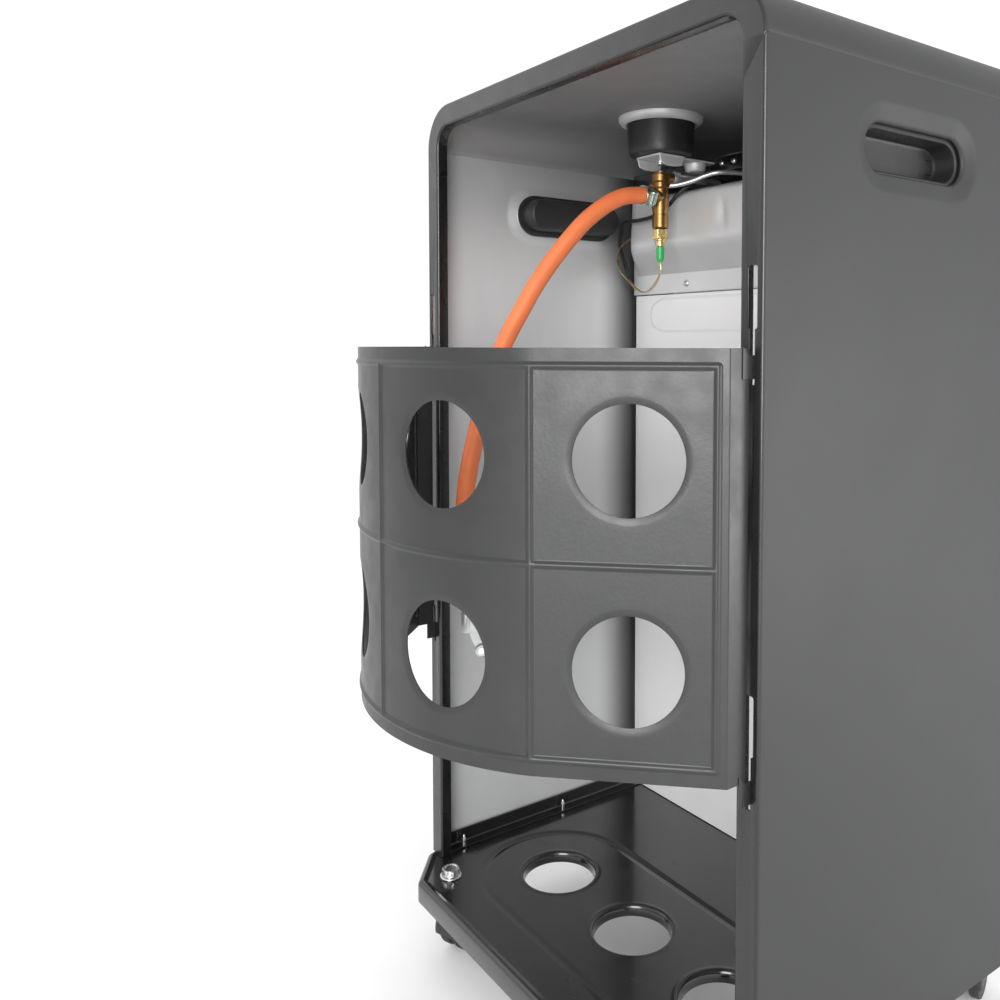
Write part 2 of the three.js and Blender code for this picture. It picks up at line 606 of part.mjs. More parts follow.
// Each castor's group stands on its swivel axis; local +x is the way the wheels trail.
function castor(tag, x, y, braked) {
  const at = new THREE.Group();
  at.position.set(x, y, 0);
  at.rotation.z = CASTOR_YAW;
  heater.add(at);

  add(`castor_${tag}_bolt`, fuse(
    rod('z', 9.8, [0, 0, FLOOR_TOP + GAP], 1.8, 16),
    rod('z', 9, [0, 0, FLOOR_TOP + 1.9], 5.6, 6),
    rod('z', 4, [0, 0, 50], FLOOR_TOP - 47, SMALL),
  ), zinc, at);

  const axleX = CASTOR_TRAIL;
  const hoodOuter = rod('y', WHEEL_R + 3.6, [axleX, -15, WHEEL_R], 30, ROUND);
  const hoodCut = rod('y', WHEEL_R + 1.4, [axleX, -13, WHEEL_R], 26, ROUND);
  const below = box(-40, 70, -20, 20, -20, WHEEL_R - 3);
  const web = common(rod('y', WHEEL_R + 2, [axleX, -2, WHEEL_R], 4, ROUND), box(-40, 70, -3, 3, WHEEL_R - 7, 60));
  const hood = cut(
    fuse(cut(hoodOuter, hoodCut, below), web, rod('z', 13, [0, 0, 40], FLOOR_TOP - SHEET - GAP - 40, 16)),
    rod('z', 4.5, [0, 0, 48.5], 40, SMALL),
    rod('y', 3.4, [axleX, -20, WHEEL_R], 40, SMALL),
    rod('y', WHEEL_R + 1.4, [axleX, -13, WHEEL_R], 11, ROUND),
    rod('y', WHEEL_R + 1.4, [axleX, 2, WHEEL_R], 11, ROUND),
  );
  add(`castor_${tag}_hood`, hood, blackPlastic, at);

  const tyre = (from) => rod('y', WHEEL_R, [axleX, from, WHEEL_R], 9.6, ROUND);
  add(`castor_${tag}_wheels`, fuse(tyre(-12.4), tyre(2.8), rod('y', 3, [axleX, -12, WHEEL_R], 24, SMALL)), blackPlastic, at);

  if (braked) {
    add(`castor_${tag}_brake`, fuse(
      box(axleX + 26.2, axleX + 38, -8, 8, 27, 30.2),
      rod('y', 2.4, [axleX + 28.4, -8, 28.6], 16, SMALL),
    ), blackPlastic, at);
  }
}

castor('rear_left', -CASTOR_X, CASTOR_Y[0], true);
castor('rear_right', CASTOR_X, CASTOR_Y[0], true);
castor('front_left', -CASTOR_X, CASTOR_Y[1], false);
castor('front_right', CASTOR_X, CASTOR_Y[1], false);

export default heater;
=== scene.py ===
# %% [markdown]
# # An outdoor gas cabinet heater, seen from its bottle bay
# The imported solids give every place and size. Each piece below is a surface worked out with numpy in
# millimetres, then scaled to metres, and it rides on the body that the solids gave it.

# %% Load the frame
import bpy
import bmesh
import numpy as np
from mathutils import Matrix, Vector
from mathutils.geometry import delaunay_2d_cdt


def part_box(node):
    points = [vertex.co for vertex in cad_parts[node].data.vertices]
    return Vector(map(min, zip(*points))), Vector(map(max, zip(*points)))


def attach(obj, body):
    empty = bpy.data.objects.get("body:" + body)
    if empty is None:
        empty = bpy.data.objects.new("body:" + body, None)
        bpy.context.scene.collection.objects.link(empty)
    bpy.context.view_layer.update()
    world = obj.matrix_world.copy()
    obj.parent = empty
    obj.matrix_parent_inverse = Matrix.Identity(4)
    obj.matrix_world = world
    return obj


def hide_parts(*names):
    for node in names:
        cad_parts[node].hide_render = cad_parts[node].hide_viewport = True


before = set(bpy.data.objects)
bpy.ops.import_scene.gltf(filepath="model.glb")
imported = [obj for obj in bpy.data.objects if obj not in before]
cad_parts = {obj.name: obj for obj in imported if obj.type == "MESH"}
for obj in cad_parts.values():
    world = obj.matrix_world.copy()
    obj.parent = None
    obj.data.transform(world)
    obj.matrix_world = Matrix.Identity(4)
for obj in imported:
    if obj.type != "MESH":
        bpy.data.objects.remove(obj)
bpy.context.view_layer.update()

# %% [markdown]
# ## Millimetres of the cabinet
# A sheet-metal maker measures from the rear flanges, so y = 0 is their rear face, x = 0 the middle of the
# cabinet and z = 0 the ground. One function moves such points into the frame's metres.

# %% Cabinet millimetres to frame metres
MM = 0.001
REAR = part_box("side_panel_left")[1].y
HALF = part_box("side_panel_right")[1].x / MM
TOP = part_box("top_panel")[1].z / MM
FRONT = (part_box("front_fascia")[0].y - REAR) / MM


def metres(points):
    """Frame metres = cabinet millimetres / 1000, then moved along y to the rear flanges."""
    return np.asarray(points, float) * MM + np.array([0.0, REAR, 0.0])


print("half width", HALF, "top", TOP, "front", FRONT)

# %% [markdown]
# ## The camera
# It stands behind the near rear corner, a little below the top panel, and looks across the open bay. The
# lens shift keeps the cabinet's sides upright in the picture, as a view camera does.

# %% Camera
camera = bpy.data.objects.new("camera", bpy.data.cameras.new("camera"))
bpy.context.scene.collection.objects.link(camera)
bpy.context.scene.camera = camera
camera.data.lens = 33.78
camera.data.shift_x = -0.112
camera.data.shift_y = -0.108
camera.data.clip_start = 0.02
CAMERA_AT = Vector(metres([-583.6, 396.5, 552.4]))
YAW, PITCH, ROLL = np.radians([52.42, 2.84, 0.14])
forward = Vector((np.sin(YAW) * np.cos(PITCH), -np.cos(YAW) * np.cos(PITCH), -np.sin(PITCH)))
turn = forward.to_track_quat("-Z", "Y").to_matrix().to_4x4() @ Matrix.Rotation(ROLL, 4, "Z")
camera.matrix_world = Matrix.Translation(CAMERA_AT) @ turn
print("camera at", tuple(round(c, 3) for c in CAMERA_AT))

# %% [markdown]
# ## Surfaces on grids
# Almost every piece here is a grid of points: rows of a profile, carried along a path or around an axis.
# `patch` turns such a grid into quads. `fill` closes a flat outline, with openings, by triangles.

# %% Grid, fill and place helpers
def patch(points, wrap=False, flip=False):
    """Quads between neighbours of a rows x columns grid; wrap joins the last column to the first."""
    rows, cols = points.shape[:2]
    i, j = np.meshgrid(np.arange(rows - 1), np.arange(cols if wrap else cols - 1), indexing="ij")
    right = (j + 1) % cols
    quads = np.stack([i * cols + j, (i + 1) * cols + j, (i + 1) * cols + right, i * cols + right], -1)
    quads = quads.reshape(-1, 4)
    return points.reshape(-1, 3), (quads[:, ::-1] if flip else quads).tolist()


def fill(loops, facing):
    """Delaunay triangles over a flat outline, the first loop, open inside the others, turned to facing."""
    keep = np.sort(np.argsort(np.abs(facing))[:2])
    area = [np.sum(x * np.roll(y, -1) - y * np.roll(x, -1)) for x, y in (loop[:, keep].T for loop in loops)]
    loops = [loop if twice > 0 else loop[::-1] for loop, twice in zip(loops, area)]
    points = np.vstack(loops)
    ends = np.cumsum([len(loop) for loop in loops])
    faces = [list(range(end - len(loop), end)) for loop, end in zip(loops, ends)]
    plan = [Vector(p) for p in points[:, keep]]
    _, _, tris, origin, _, owners = delaunay_2d_cdt(plan, [], faces, 1, 1e-6)
    points = points[[own[0] for own in origin]]
    tris = np.array([t for t, own in zip(tris, owners) if list(own) == [0]])
    a, b, c = points[tris[:, 0]], points[tris[:, 1]], points[tris[:, 2]]
    away = np.einsum("ij,j->i", np.cross(b - a, c - a), np.asarray(facing, float)) < 0
    tris[away] = tris[away][:, ::-1]
    return points, tris.tolist()


def flat(origin, right, up, normal=None):
    """A place function: (u, v, h) = origin + u * right + v * up + h * normal, normal = right x up."""
    origin, right, up = (np.asarray(a, float) for a in (origin, right, up))
    normal = np.cross(right, up) if normal is None else np.asarray(normal, float)

    def place(u, v, h):
        u, v, h = (np.asarray(a, float)[..., None] for a in np.broadcast_arrays(u, v, h))
        return origin + u * right + v * up + h * normal
    return place


def axes_along(direction, hint=(0, 0, 1)):
    """Two unit vectors across a direction: hint x direction, and direction x that."""
    w = np.asarray(direction, float) / np.linalg.norm(direction)
    hint = (1, 0, 0) if abs(np.dot(w, hint)) > 0.95 else hint
    u = np.cross(hint, w)
    u /= np.linalg.norm(u)
    return u, np.cross(w, u), w


# %% [markdown]
# ## Rings
# Holes, cups, beads and knobs are all families of outlines. One outline is a rectangle with round corners;
# with a radius as large as its half sides it is a circle, and with a radius of half its height a stadium.

# %% Ring outline and ring stacks
def ring(half_x, half_y, radius, count=96):
    """A rounded rectangle's outline, count points, with each corner's middle on an eighth of the count.
    One eighth runs up the side and half round the corner: (a, s), then centre + r (cos, sin)(s / r)."""
    n = count // 8
    t = np.arange(n) / n
    r = max(radius, 1e-6)
    bend = r * np.pi / 4
    side = np.maximum(half_y - r, 0) + bend
    cap = np.maximum(half_x - r, 0) + bend
    s1 = t * side
    over = np.clip((s1 - (half_y - r)) / r, 0, None)
    first = np.stack([half_x - r + r * np.cos(over), np.minimum(s1, half_y - r) + r * np.sin(over)], -1)
    s2 = (1 - t) * cap
    over = np.clip((s2 - (half_x - r)) / r, 0, None)
    second = np.stack([np.minimum(s2, half_x - r) + r * np.sin(over), half_y - r + r * np.cos(over)], -1)
    quarter = np.vstack([first, second])
    top = np.array([[0.0, half_y]])
    left = np.vstack([top, quarter[:0:-1]]) * [-1, 1]
    half = np.vstack([quarter, left])
    return np.vstack([half, -half])


def rings(specs, place, centre=(0, 0), count=96):
    """Rows of outlines: each spec is (half_x, half_y, radius, height), or adds its own centre x, y."""
    rows = []
    for a, b, r, h, *own in specs:
        x, y = own if own else centre
        outline = ring(a, b, r, count) + [x, y]
        rows.append(place(outline[:, 0], outline[:, 1], h))
    return np.array(rows)


def turned(profile, origin, axis=(0, 0, 1), count=64):
    """A profile of (radius, along) pairs turned about an axis: p = o + r cos a u + r sin a v + along w."""
    u, v, w = axes_along(axis)
    r, along = np.asarray(profile, float).T
    a = 2 * np.pi * np.arange(count) / count
    across = np.cos(a)[:, None] * u + np.sin(a)[:, None] * v
    points = np.asarray(origin, float) + r[:, None, None] * across + along[:, None, None] * w
    return patch(points, wrap=True, flip=True)


def prism(outline, place, low, high):
    """A flat outline (n x 2) given a thickness: two filled ends and a wall between them."""
    outline = np.asarray(outline, float)
    bottom, top = (place(outline[:, 0], outline[:, 1], h) for h in (low, high))
    up = top[0] - bottom[0]
    wall = patch(np.array([bottom, top]), wrap=True)
    return [wall, fill([bottom], -up), fill([top], up)]


# %% [markdown]
# ## Paths
# Pipes, wires and the hose are a section carried along a smooth path.

# %% Smooth paths and sweeps
def smooth(points, steps=8):
    """A Catmull-Rom path: between p1 and p2 it is half of 2 p1 + (p2 - p0) t + ... with t from 0 to 1."""
    p = np.asarray(points, float)
    p = np.vstack([2 * p[0] - p[1], p, 2 * p[-1] - p[-2]])
    t = (np.arange(steps) / steps)[None, :, None]
    p0, p1, p2, p3 = (p[k:len(p) - 3 + k, None, :] for k in range(4))
    a, b, c = p2 - p0, 2 * p0 - 5 * p1 + 4 * p2 - p3, 3 * p1 - p0 - 3 * p2 + p3
    run = 0.5 * (2 * p1 + a * t + b * t ** 2 + c * t ** 3)
    return np.vstack([run.reshape(-1, 3), p[-2]])


def sweep(section, path, hint, closed=True, caps=True):
    """A section (n x 2) carried along a path: p = path + s0 * side + s1 * over, side = hint x tangent."""
    path, section = np.asarray(path, float), np.asarray(section, float)
    tangent = np.gradient(path, axis=0)
    tangent /= np.linalg.norm(tangent, axis=1)[:, None]
    side = np.cross(np.asarray(hint, float), tangent)
    side /= np.linalg.norm(side, axis=1)[:, None]
    over = np.cross(tangent, side)
    points = path[:, None] + section[None, :, :1] * side[:, None] + section[None, :, 1:] * over[:, None]
    parts = [patch(points, wrap=closed, flip=True)]
    if closed and caps:
        parts += [fill([points[0]], -tangent[0]), fill([points[-1]], tangent[-1])]
    return parts


def circle(radius, count=16):
    """Points of a circle: (r cos a, r sin a)."""
    a = 2 * np.pi * np.arange(count) / count
    return radius * np.stack([np.cos(a), np.sin(a)], -1)


# %% [markdown]
# ## From parts to a piece
# A piece joins its parts, merges the points where they meet, and rides on a body. Sheet metal is drawn as
# one skin and given its thickness by Solidify; a small Bevel lets every edge catch the light, and Weighted
# Normal keeps large flats flat up to their bends.

# %% Make a piece
def piece(name, parts, looks, body="cabinet", instead=(), sheet=0.0, bevel=0.0, sharp=38, inside=False):
    """Mesh, modifiers, material and body for one named piece. sheet is a thickness behind the skin."""
    looks = looks if isinstance(looks, (list, tuple)) else [looks]
    start = np.cumsum([0] + [len(p) for p, _ in parts])
    faces = [[k + s for k in f] for (_, fs), s in zip(parts, start) for f in fs]
    mesh = bpy.data.meshes.new(name)
    mesh.from_pydata(metres(np.vstack([p for p, _ in parts])).tolist(), [], faces)
    work = bmesh.new()
    work.from_mesh(mesh)
    bmesh.ops.remove_doubles(work, verts=work.verts, dist=2e-5)
    bmesh.ops.dissolve_degenerate(work, edges=work.edges, dist=1e-6)
    work.faces.ensure_lookup_table()
    outward = work.faces[0].normal.copy()
    bmesh.ops.recalc_face_normals(work, faces=work.faces)
    if sheet and outward.dot(work.faces[0].normal) < 0:
        bmesh.ops.reverse_faces(work, faces=work.faces)
    work.to_mesh(mesh)
    work.free()
    mesh.shade_smooth()
    mesh.set_sharp_from_angle(angle=np.radians(sharp))
    thing = bpy.data.objects.new(name, mesh)
    bpy.context.scene.collection.objects.link(thing)
    for look in looks:
        mesh.materials.append(look)
    if sheet:
        solid = thing.modifiers.new("thickness", "SOLIDIFY")
        solid.thickness = sheet * MM
        solid.offset = -1
        solid.material_offset = 1 if inside else 0
    if bevel:
        edge = thing.modifiers.new("edges", "BEVEL")
        edge.width = bevel * MM
        edge.segments = 2
        edge.limit_method = "ANGLE"
        edge.angle_limit = np.radians(40)
        edge.use_clamp_overlap = True
    normals = thing.modifiers.new("normals", "WEIGHTED_NORMAL")
    normals.keep_sharp = not bevel
    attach(thing, body)
    if instead:
        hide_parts(*instead)
    return thing


# %% [markdown]
# ## Finishes
# One recipe serves most of them: a base colour with soft clouds, a roughness that wanders a little, and a
# fine grain as bump. The sizes are those of the real thing: orange peel of a millimetre or two in the powder
# coat, spangle of a centimetre in galvanised sheet.

# %% Finish recipe
def finish(name, color, roughness, metallic=0.0, coat=0.0, cloud=(60, 0.12), grain=(1.5, 0.02), stretch=(1, 1, 1),
           wander=0.06, coat_roughness=0.1, shine=0.5):
    """Principled surface. cloud = (size in mm, share of colour), grain = (size in mm, height in mm)."""
    look = bpy.data.materials.new(name)
    look.use_nodes = True
    tree = look.node_tree
    shader = tree.nodes["Principled BSDF"]
    shader.inputs["Metallic"].default_value = metallic
    shader.inputs["Specular IOR Level"].default_value = shine
    shader.inputs["Coat Weight"].default_value = coat
    shader.inputs["Coat Roughness"].default_value = coat_roughness
    coords = tree.nodes.new("ShaderNodeTexCoord")
    mapping = tree.nodes.new("ShaderNodeMapping")
    mapping.inputs["Scale"].default_value = stretch
    tree.links.new(coords.outputs["Object"], mapping.inputs["Vector"])

    def noise(size, detail):
        node = tree.nodes.new("ShaderNodeTexNoise")
        node.inputs["Scale"].default_value = 1000 / size
        node.inputs["Detail"].default_value = detail
        tree.links.new(mapping.outputs["Vector"], node.inputs["Vector"])
        return node.outputs["Fac"]

    clouds = noise(cloud[0], 4)
    tint = tree.nodes.new("ShaderNodeMix")
    tint.data_type = "RGBA"
    dark, light = (np.clip(np.array(color) * (1 + s * cloud[1]), 0, 1) for s in (-1, 1))
    tint.inputs["A"].default_value = (*dark, 1)
    tint.inputs["B"].default_value = (*light, 1)
    tree.links.new(clouds, tint.inputs["Factor"])
    tree.links.new(tint.outputs["Result"], shader.inputs["Base Color"])
    spread = tree.nodes.new("ShaderNodeMapRange")
    spread.inputs["From Min"].default_value = 0.3
    spread.inputs["From Max"].default_value = 0.7
    spread.inputs["To Min"].default_value = max(roughness - wander, 0.02)
    spread.inputs["To Max"].default_value = roughness + wander
    tree.links.new(noise(cloud[0] * 0.37, 5), spread.inputs["Value"])
    tree.links.new(spread.outputs["Result"], shader.inputs["Roughness"])
    bump = tree.nodes.new("ShaderNodeBump")
    bump.inputs["Distance"].default_value = grain[1] * MM
    bump.inputs["Strength"].default_value = 1.05
    tree.links.new(noise(grain[0], 3), bump.inputs["Height"])
    tree.links.new(bump.outputs["Normal"], shader.inputs["Normal"])
    return look


paint = finish("charcoal_powder_coat", (0.03, 0.0305, 0.0315), 0.48, shine=0.32, grain=(1.6, 0.03),
               cloud=(150, 0.05), wander=0.02)
# Painted shade: the top's galvanised inside is given a darker colour than the side walls' inside, for the shade under
# the roof.
roof_zinc_painted_shade = finish("roof_inside_painted_shade", (0.3, 0.3, 0.302), 0.5, metallic=0.5, cloud=(80, 0.12), grain=(0.8, 0.01))
fold_black = finish("folded_edge_black", (0.006, 0.006, 0.0065), 0.3, coat=0.2, grain=(2.5, 0.03), cloud=(40, 0.3))
satin_black = finish("satin_black_sheet", (0.02, 0.0205, 0.0215), 0.36, grain=(2.4, 0.07), cloud=(45, 0.35))
enamel = finish("black_enamel", (0.008, 0.008, 0.0085), 0.22, coat=0.5, grain=(3.0, 0.03), cloud=(90, 0.3))
galvanised = finish("galvanised_sheet", (0.66, 0.665, 0.67), 0.46, metallic=0.4, cloud=(70, 0.1), grain=(0.8, 0.008),
                    stretch=(1, 1, 0.25))
panel_zinc = finish("wall_sheet", (0.86, 0.86, 0.86), 0.5, metallic=0.15, cloud=(80, 0.06), grain=(0.8, 0.006))
plain_zinc = finish("dull_zinc", (0.62, 0.625, 0.63), 0.5, metallic=0.45, cloud=(9, 0.15), grain=(0.7, 0.02))
bright_zinc = finish("bright_zinc", (0.66, 0.67, 0.66), 0.24, metallic=1.0, cloud=(4, 0.12), grain=(0.5, 0.008))
passivated = finish("passivated_zinc", (0.5, 0.62, 0.56), 0.26, metallic=1.0, cloud=(3, 0.35), grain=(0.5, 0.01))
aluminium = finish("plain_aluminium", (0.66, 0.67, 0.68), 0.36, metallic=0.95, cloud=(10, 0.1), grain=(0.6, 0.015))
brass = finish("turned_brass", (0.34, 0.19, 0.07), 0.36, metallic=1.0, cloud=(5, 0.45), grain=(0.6, 0.012))
fresh_brass = finish("fresh_brass", (0.8, 0.6, 0.25), 0.25, metallic=1.0, cloud=(6, 0.15), grain=(0.5, 0.008))
moulded_black = finish("moulded_black", (0.016, 0.016, 0.017), 0.42, grain=(0.5, 0.02), cloud=(12, 0.2))
black_sleeve = finish("black_sleeve", (0.012, 0.012, 0.012), 0.5, grain=(0.8, 0.02), cloud=(10, 0.2))
hose_rubber = finish("orange_hose", (0.83, 0.2, 0.065), 0.5, grain=(1.2, 0.05), cloud=(20, 0.12), wander=0.1)
green_plastic = finish("green_plastic", (0.03, 0.42, 0.1), 0.3, grain=(0.5, 0.01), cloud=(4, 0.15))
copper = finish("tinned_copper", (0.55, 0.38, 0.26), 0.38, metallic=0.8, cloud=(5, 0.3), grain=(0.4, 0.01))
chrome = finish("bright_chrome", (0.75, 0.76, 0.78), 0.12, metallic=1.0, cloud=(30, 0.05), grain=(5, 0.004), wander=0.04)
print("finishes", len(bpy.data.materials))

# %% [markdown]
# The inside of the side sheets carries painted shade: its colour grows darker towards the corner with the wall panel
# and towards the top under the roof.

# %% Painted shade: darkening towards one place
def darken(look, axis, near, far, share):
    """Base colour times a factor that runs from share at near to 1 at far, along one object axis, in mm."""
    tree = look.node_tree
    shader = tree.nodes["Principled BSDF"]
    source = shader.inputs["Base Color"].links[0].from_socket
    coords, split = tree.nodes.new("ShaderNodeTexCoord"), tree.nodes.new("ShaderNodeSeparateXYZ")
    tree.links.new(coords.outputs["Object"], split.inputs["Vector"])
    ramp, mix = tree.nodes.new("ShaderNodeMapRange"), tree.nodes.new("ShaderNodeMix")
    ramp.interpolation_type = "SMOOTHSTEP"
    for socket, value in {"From Min": near, "From Max": far, "To Min": share, "To Max": 1.0}.items():
        ramp.inputs[socket].default_value = value
    tree.links.new(split.outputs[axis], ramp.inputs["Value"])
    mix.data_type, mix.blend_type = "RGBA", "MULTIPLY"
    mix.inputs["Factor"].default_value = 1.0
    tree.links.new(source, mix.inputs["A"])
    tree.links.new(ramp.outputs["Result"], mix.inputs["B"])
    tree.links.new(mix.outputs["Result"], shader.inputs["Base Color"])
    return look


wall_zinc_painted_shade = finish("side_inside_painted_shade", (0.66, 0.665, 0.67), 0.46, metallic=0.4, cloud=(70, 0.1), grain=(0.8, 0.008),
                   stretch=(1, 1, 0.25))
# Painted shade: the galvanised inside darkens towards the corner with the wall panel, and towards the top under the
# roof.
darken(wall_zinc_painted_shade, "Y", (-241 * MM) + REAR, (-190 * MM) + REAR, 0.1)
darken(wall_zinc_painted_shade, "Z", 0.735, 0.6, 0.6)
print("walls darken towards", wall_zinc_painted_shade.name)

# %% [markdown]
# ## The gas hose
# A rubber hose as thick as a thumb leaves the valve's side, bends over under its own weight and hangs down
# behind the guard to the regulator. Its route is the solids' own; it comes before everything else, and its
# lower end is where the regulator hangs.

# %% Gas hose
HOSE_R = 7.75
HOSE_ROUTE = [
    (93, -169.2, 691), (93.4, -158, 691), (95, -142, 689), (97.5, -128, 683.5), (100.5, -115, 675),
    (104, -101, 663), (108, -88, 648), (112, -77, 633.5), (116, -66, 617.5), (119.5, -55.5, 600.5),
    (122.5, -46, 583), (126, -31, 555), (128.7, -17, 520), (130, -6, 481), (130, 3, 445), (128, 8.5, 411),
    (123, 9.5, 379), (118, 9, 352),
]
hose_path = smooth(HOSE_ROUTE, 6)
hose = piece("hose_rubber", sweep(circle(HOSE_R, 32), hose_path, (1, 0, 0)), hose_rubber,
             instead=["gas_hose"])

# %% [markdown]
# ## The cabinet's rear edge
# Each side and the top are folded from one sheet: the skin turns round a small bend into a flange that faces
# the rear, and turns again into a lip that stiffens it. In section it is a short hook, kept as pairs of
# (depth, inset): how far forward of the rear face, and how far in from the outer skin.

# %% Hook section of the rear edge
SHEET = 1.5
FLANGE = 19.0
LIP = 10.0
BEND = 2.2
SHOULDER = 36.0
PANEL_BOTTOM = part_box("side_panel_left")[0].z / MM
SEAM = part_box("side_panel_left")[1].z / MM
SEAM_DROP = 25.0


def arc(centre, radius, start, end, steps=5):
    """Points of an arc: centre + r (cos a, sin a), a from start to end in degrees."""
    a = np.radians(np.linspace(start, end, steps + 1))
    return np.stack([centre[0] + radius * np.cos(a), centre[1] + radius * np.sin(a)], -1)


hook = np.vstack([
    [[-5.0, 0.0]],
    arc((-BEND, BEND), BEND, -90, 0),
    arc((-BEND, FLANGE - BEND), BEND, 0, 90),
    [[-LIP, FLANGE]],
])
edge_turn = 6
print("hook section points", len(hook))

# %% [markdown]
# ## The side panels
# The skin is one flat field with the grip's stadium cut in it. Around the cut the press has drawn the steel
# inwards: a soft dish, then a steep rolled edge. That dish is a stack of stadium rings. The flange has two
# keyholes, wide above and narrow below, that the bottle guard's hooks drop into.

# %% Side panels
GRIP_AT = (-149.7, 679.5)
GRIP_HALF = (54.0, 15.75)
DISH = [(14, 0), (12, -0.2), (10, -0.7), (8, -1.4), (6, -2.1), (4.4, -2.7), (3, -3.1), (1.8, -3.5), (0.9, -4.3),
        (0.35, -5.3), (0, -6.3)]
SLOT_X = 201.5
SLOT_BANDS = [(276.7, 309, 346), (529.7, 562, 599)]


def keyhole(low, waist, high):
    """A narrow slot 4 wide that opens into a slot 7.6 wide with round corners, as a plan (x, z) outline."""
    narrow, wide, r = 2.0, 3.8, 1.6
    corner = [arc((wide - r, waist + r), r, -90, 0, 3), arc((wide - r, high - r), r, 0, 90, 3)]
    right = np.vstack([[[narrow, low]], [[narrow, waist]], *corner])
    return np.vstack([right, right[::-1] * [-1, 1]]) + [SLOT_X, 0]


def blacken_folds(shell, facing=0.6):
    """Flange and lip take the third finish: faces that look along the depth, or lie inside the fold."""
    mesh = shell.data
    normal, centre = np.empty(3 * len(mesh.polygons)), np.empty(3 * len(mesh.polygons))
    mesh.polygons.foreach_get("normal", normal)
    mesh.polygons.foreach_get("center", centre)
    normal, centre = normal.reshape(-1, 3), (centre.reshape(-1, 3) - metres([0, 0, 0])) / MM
    fold = (np.abs(normal[:, 1]) > facing) & (centre[:, 1] > -LIP - 1) & (centre[:, 1] < 1)
    lip = (centre[:, 1] > -LIP - 1) & (np.minimum(HALF - np.abs(centre[:, 0]), TOP - centre[:, 2]) > FLANGE - 3)
    mesh.polygons.foreach_set("material_index", np.where(fold | lip, 2, 0).astype(np.int32))


def side_panel(name, side):
    outward = flat((side * HALF, 0, 0), (0, 1, 0), (0, 0, 1), (side, 0, 0))
    dish = rings([(GRIP_HALF[0] + d, GRIP_HALF[1] + d, GRIP_HALF[1] + d, h) for d, h in DISH], outward, GRIP_AT, 128)
    depth = hook[0, 0]
    border = outward(*np.array([[FRONT, PANEL_BOTTOM], [depth, PANEL_BOTTOM], [depth, SEAM], [FRONT, SEAM]]).T, 0)
    skin = fill([border, dish[0]], (side, 0, 0))
    zs = np.array([PANEL_BOTTOM, SEAM])
    heights = zs[:, None] - np.array([0, SEAM_DROP])[:, None] * hook[None, :, 1] / FLANGE
    bent = np.stack(np.broadcast_arrays(side * (HALF - hook[None, :, 1]), hook[None, :, 0], heights), -1)
    first, last = slice(0, edge_turn + 1), slice(edge_turn + 1, None)
    slots = [keyhole(*band) * [side, 1] for band in SLOT_BANDS]
    slots = [np.stack([s[:, 0], np.zeros(len(s)), s[:, 1]], -1) for s in slots]
    inner, outer = bent[:, edge_turn + 1], bent[:, edge_turn]
    web = fill([np.array([outer[0], outer[1], inner[1], inner[0]]), *slots], (0, 1, 0))
    parts = [skin, patch(dish, wrap=True, flip=side > 0), patch(bent[:, first], flip=side < 0), web,
             patch(bent[:, last], flip=side < 0)]
    shell = piece(name.replace("panel", "shell"), parts, [paint, wall_zinc_painted_shade, fold_black, fold_black],
                  instead=[name], sheet=SHEET, inside=True)
    blacken_folds(shell)


side_panel("side_panel_left", -1)
side_panel("side_panel_right", 1)

# %% [markdown]
# ## The top panel
# The same hook section runs round an upside-down U, so the shoulders stay round from the skin to the lip.
# The flat between the shoulders is filled round the hole for the control knob.

# %% Top panel
VALVE = (93.0, -181.0)


def shoulder_path(steps=12):
    """The U of the outer skin as (x, z, outward x, outward z), from the right seam over to the left."""
    right = np.radians(np.linspace(0, 90, steps + 1))
    angle = np.concatenate([right, np.pi - right[::-1]])
    centre = np.where(angle <= np.pi / 2, HALF - SHOULDER, SHOULDER - HALF)
    centre[:steps + 1] = HALF - SHOULDER
    centre[steps + 1:] = SHOULDER - HALF
    return centre, np.full_like(angle, TOP - SHOULDER), np.cos(angle), np.sin(angle)


def top_panel():
    cx, cz, nx, nz = shoulder_path()
    reach = SHOULDER - hook[None, :, 1]
    shape = np.stack(np.broadcast_arrays(cx[:, None] + reach * nx[:, None], hook[None, :, 0],
                                         cz[:, None] + reach * nz[:, None]), -1)
    steps = len(cx) // 2
    drop = np.zeros((len(hook), 3))
    drop[:, 2] = (TOP - SHOULDER - SEAM) + SEAM_DROP * hook[:, 1] / FLANGE - 0.3
    parts = [patch(shape, flip=True), patch(np.stack([shape[0] - drop, shape[0]]), flip=True),
             patch(np.stack([shape[-1], shape[-1] - drop]), flip=True)]
    for part in (slice(0, steps), slice(steps, 2 * steps)):
        rear = shape[part, 0]
        parts.append(patch(np.stack([rear * [1, 0, 1] + [0, FRONT, 0], rear], 1)))
    hole = rings([(r, r, r, h) for r, h in [(32.6, 0), (32.0, -0.5), (31.9, -1.4)]],
                 flat((0, 0, TOP), (1, 0, 0), (0, 1, 0)), VALVE)
    ends = [shape[steps - 1, 0], shape[steps, 0]]
    border = np.array([ends[0] * [1, 0, 1] + [0, FRONT, 0], ends[0], ends[1], ends[1] * [1, 0, 1] + [0, FRONT, 0]])
    parts.append(fill([border, hole[0]], (0, 0, 1)))
    parts.append(patch(hole, wrap=True))
    shell = piece("top_shell", parts, [paint, roof_zinc_painted_shade, fold_black, fold_black],
                  instead=["top_panel"], sheet=SHEET, inside=True)
    blacken_folds(shell)


top_panel()

# %% [markdown]
# ## Grip cups
# Behind each cut sits a moulded cup, so that fingers don't meet the sheet's edge. It is a stack of stadium
# rings from its flange down the outer wall, over the floor and back up inside.

# %% Grip cups
CUP = [(4.0, -8.0), (4.0, -9.6), (-0.5, -9.7), (-0.7, -24), (-2.2, -26.6), (-3.5, -27.2), (-14.5, -27.2),
       (-14.5, -25.4), (-5.5, -25.4), (-3.6, -24.6), (-2.6, -22.5), (-2.3, -9), (-1.2, -8.0), (4.0, -8.0)]


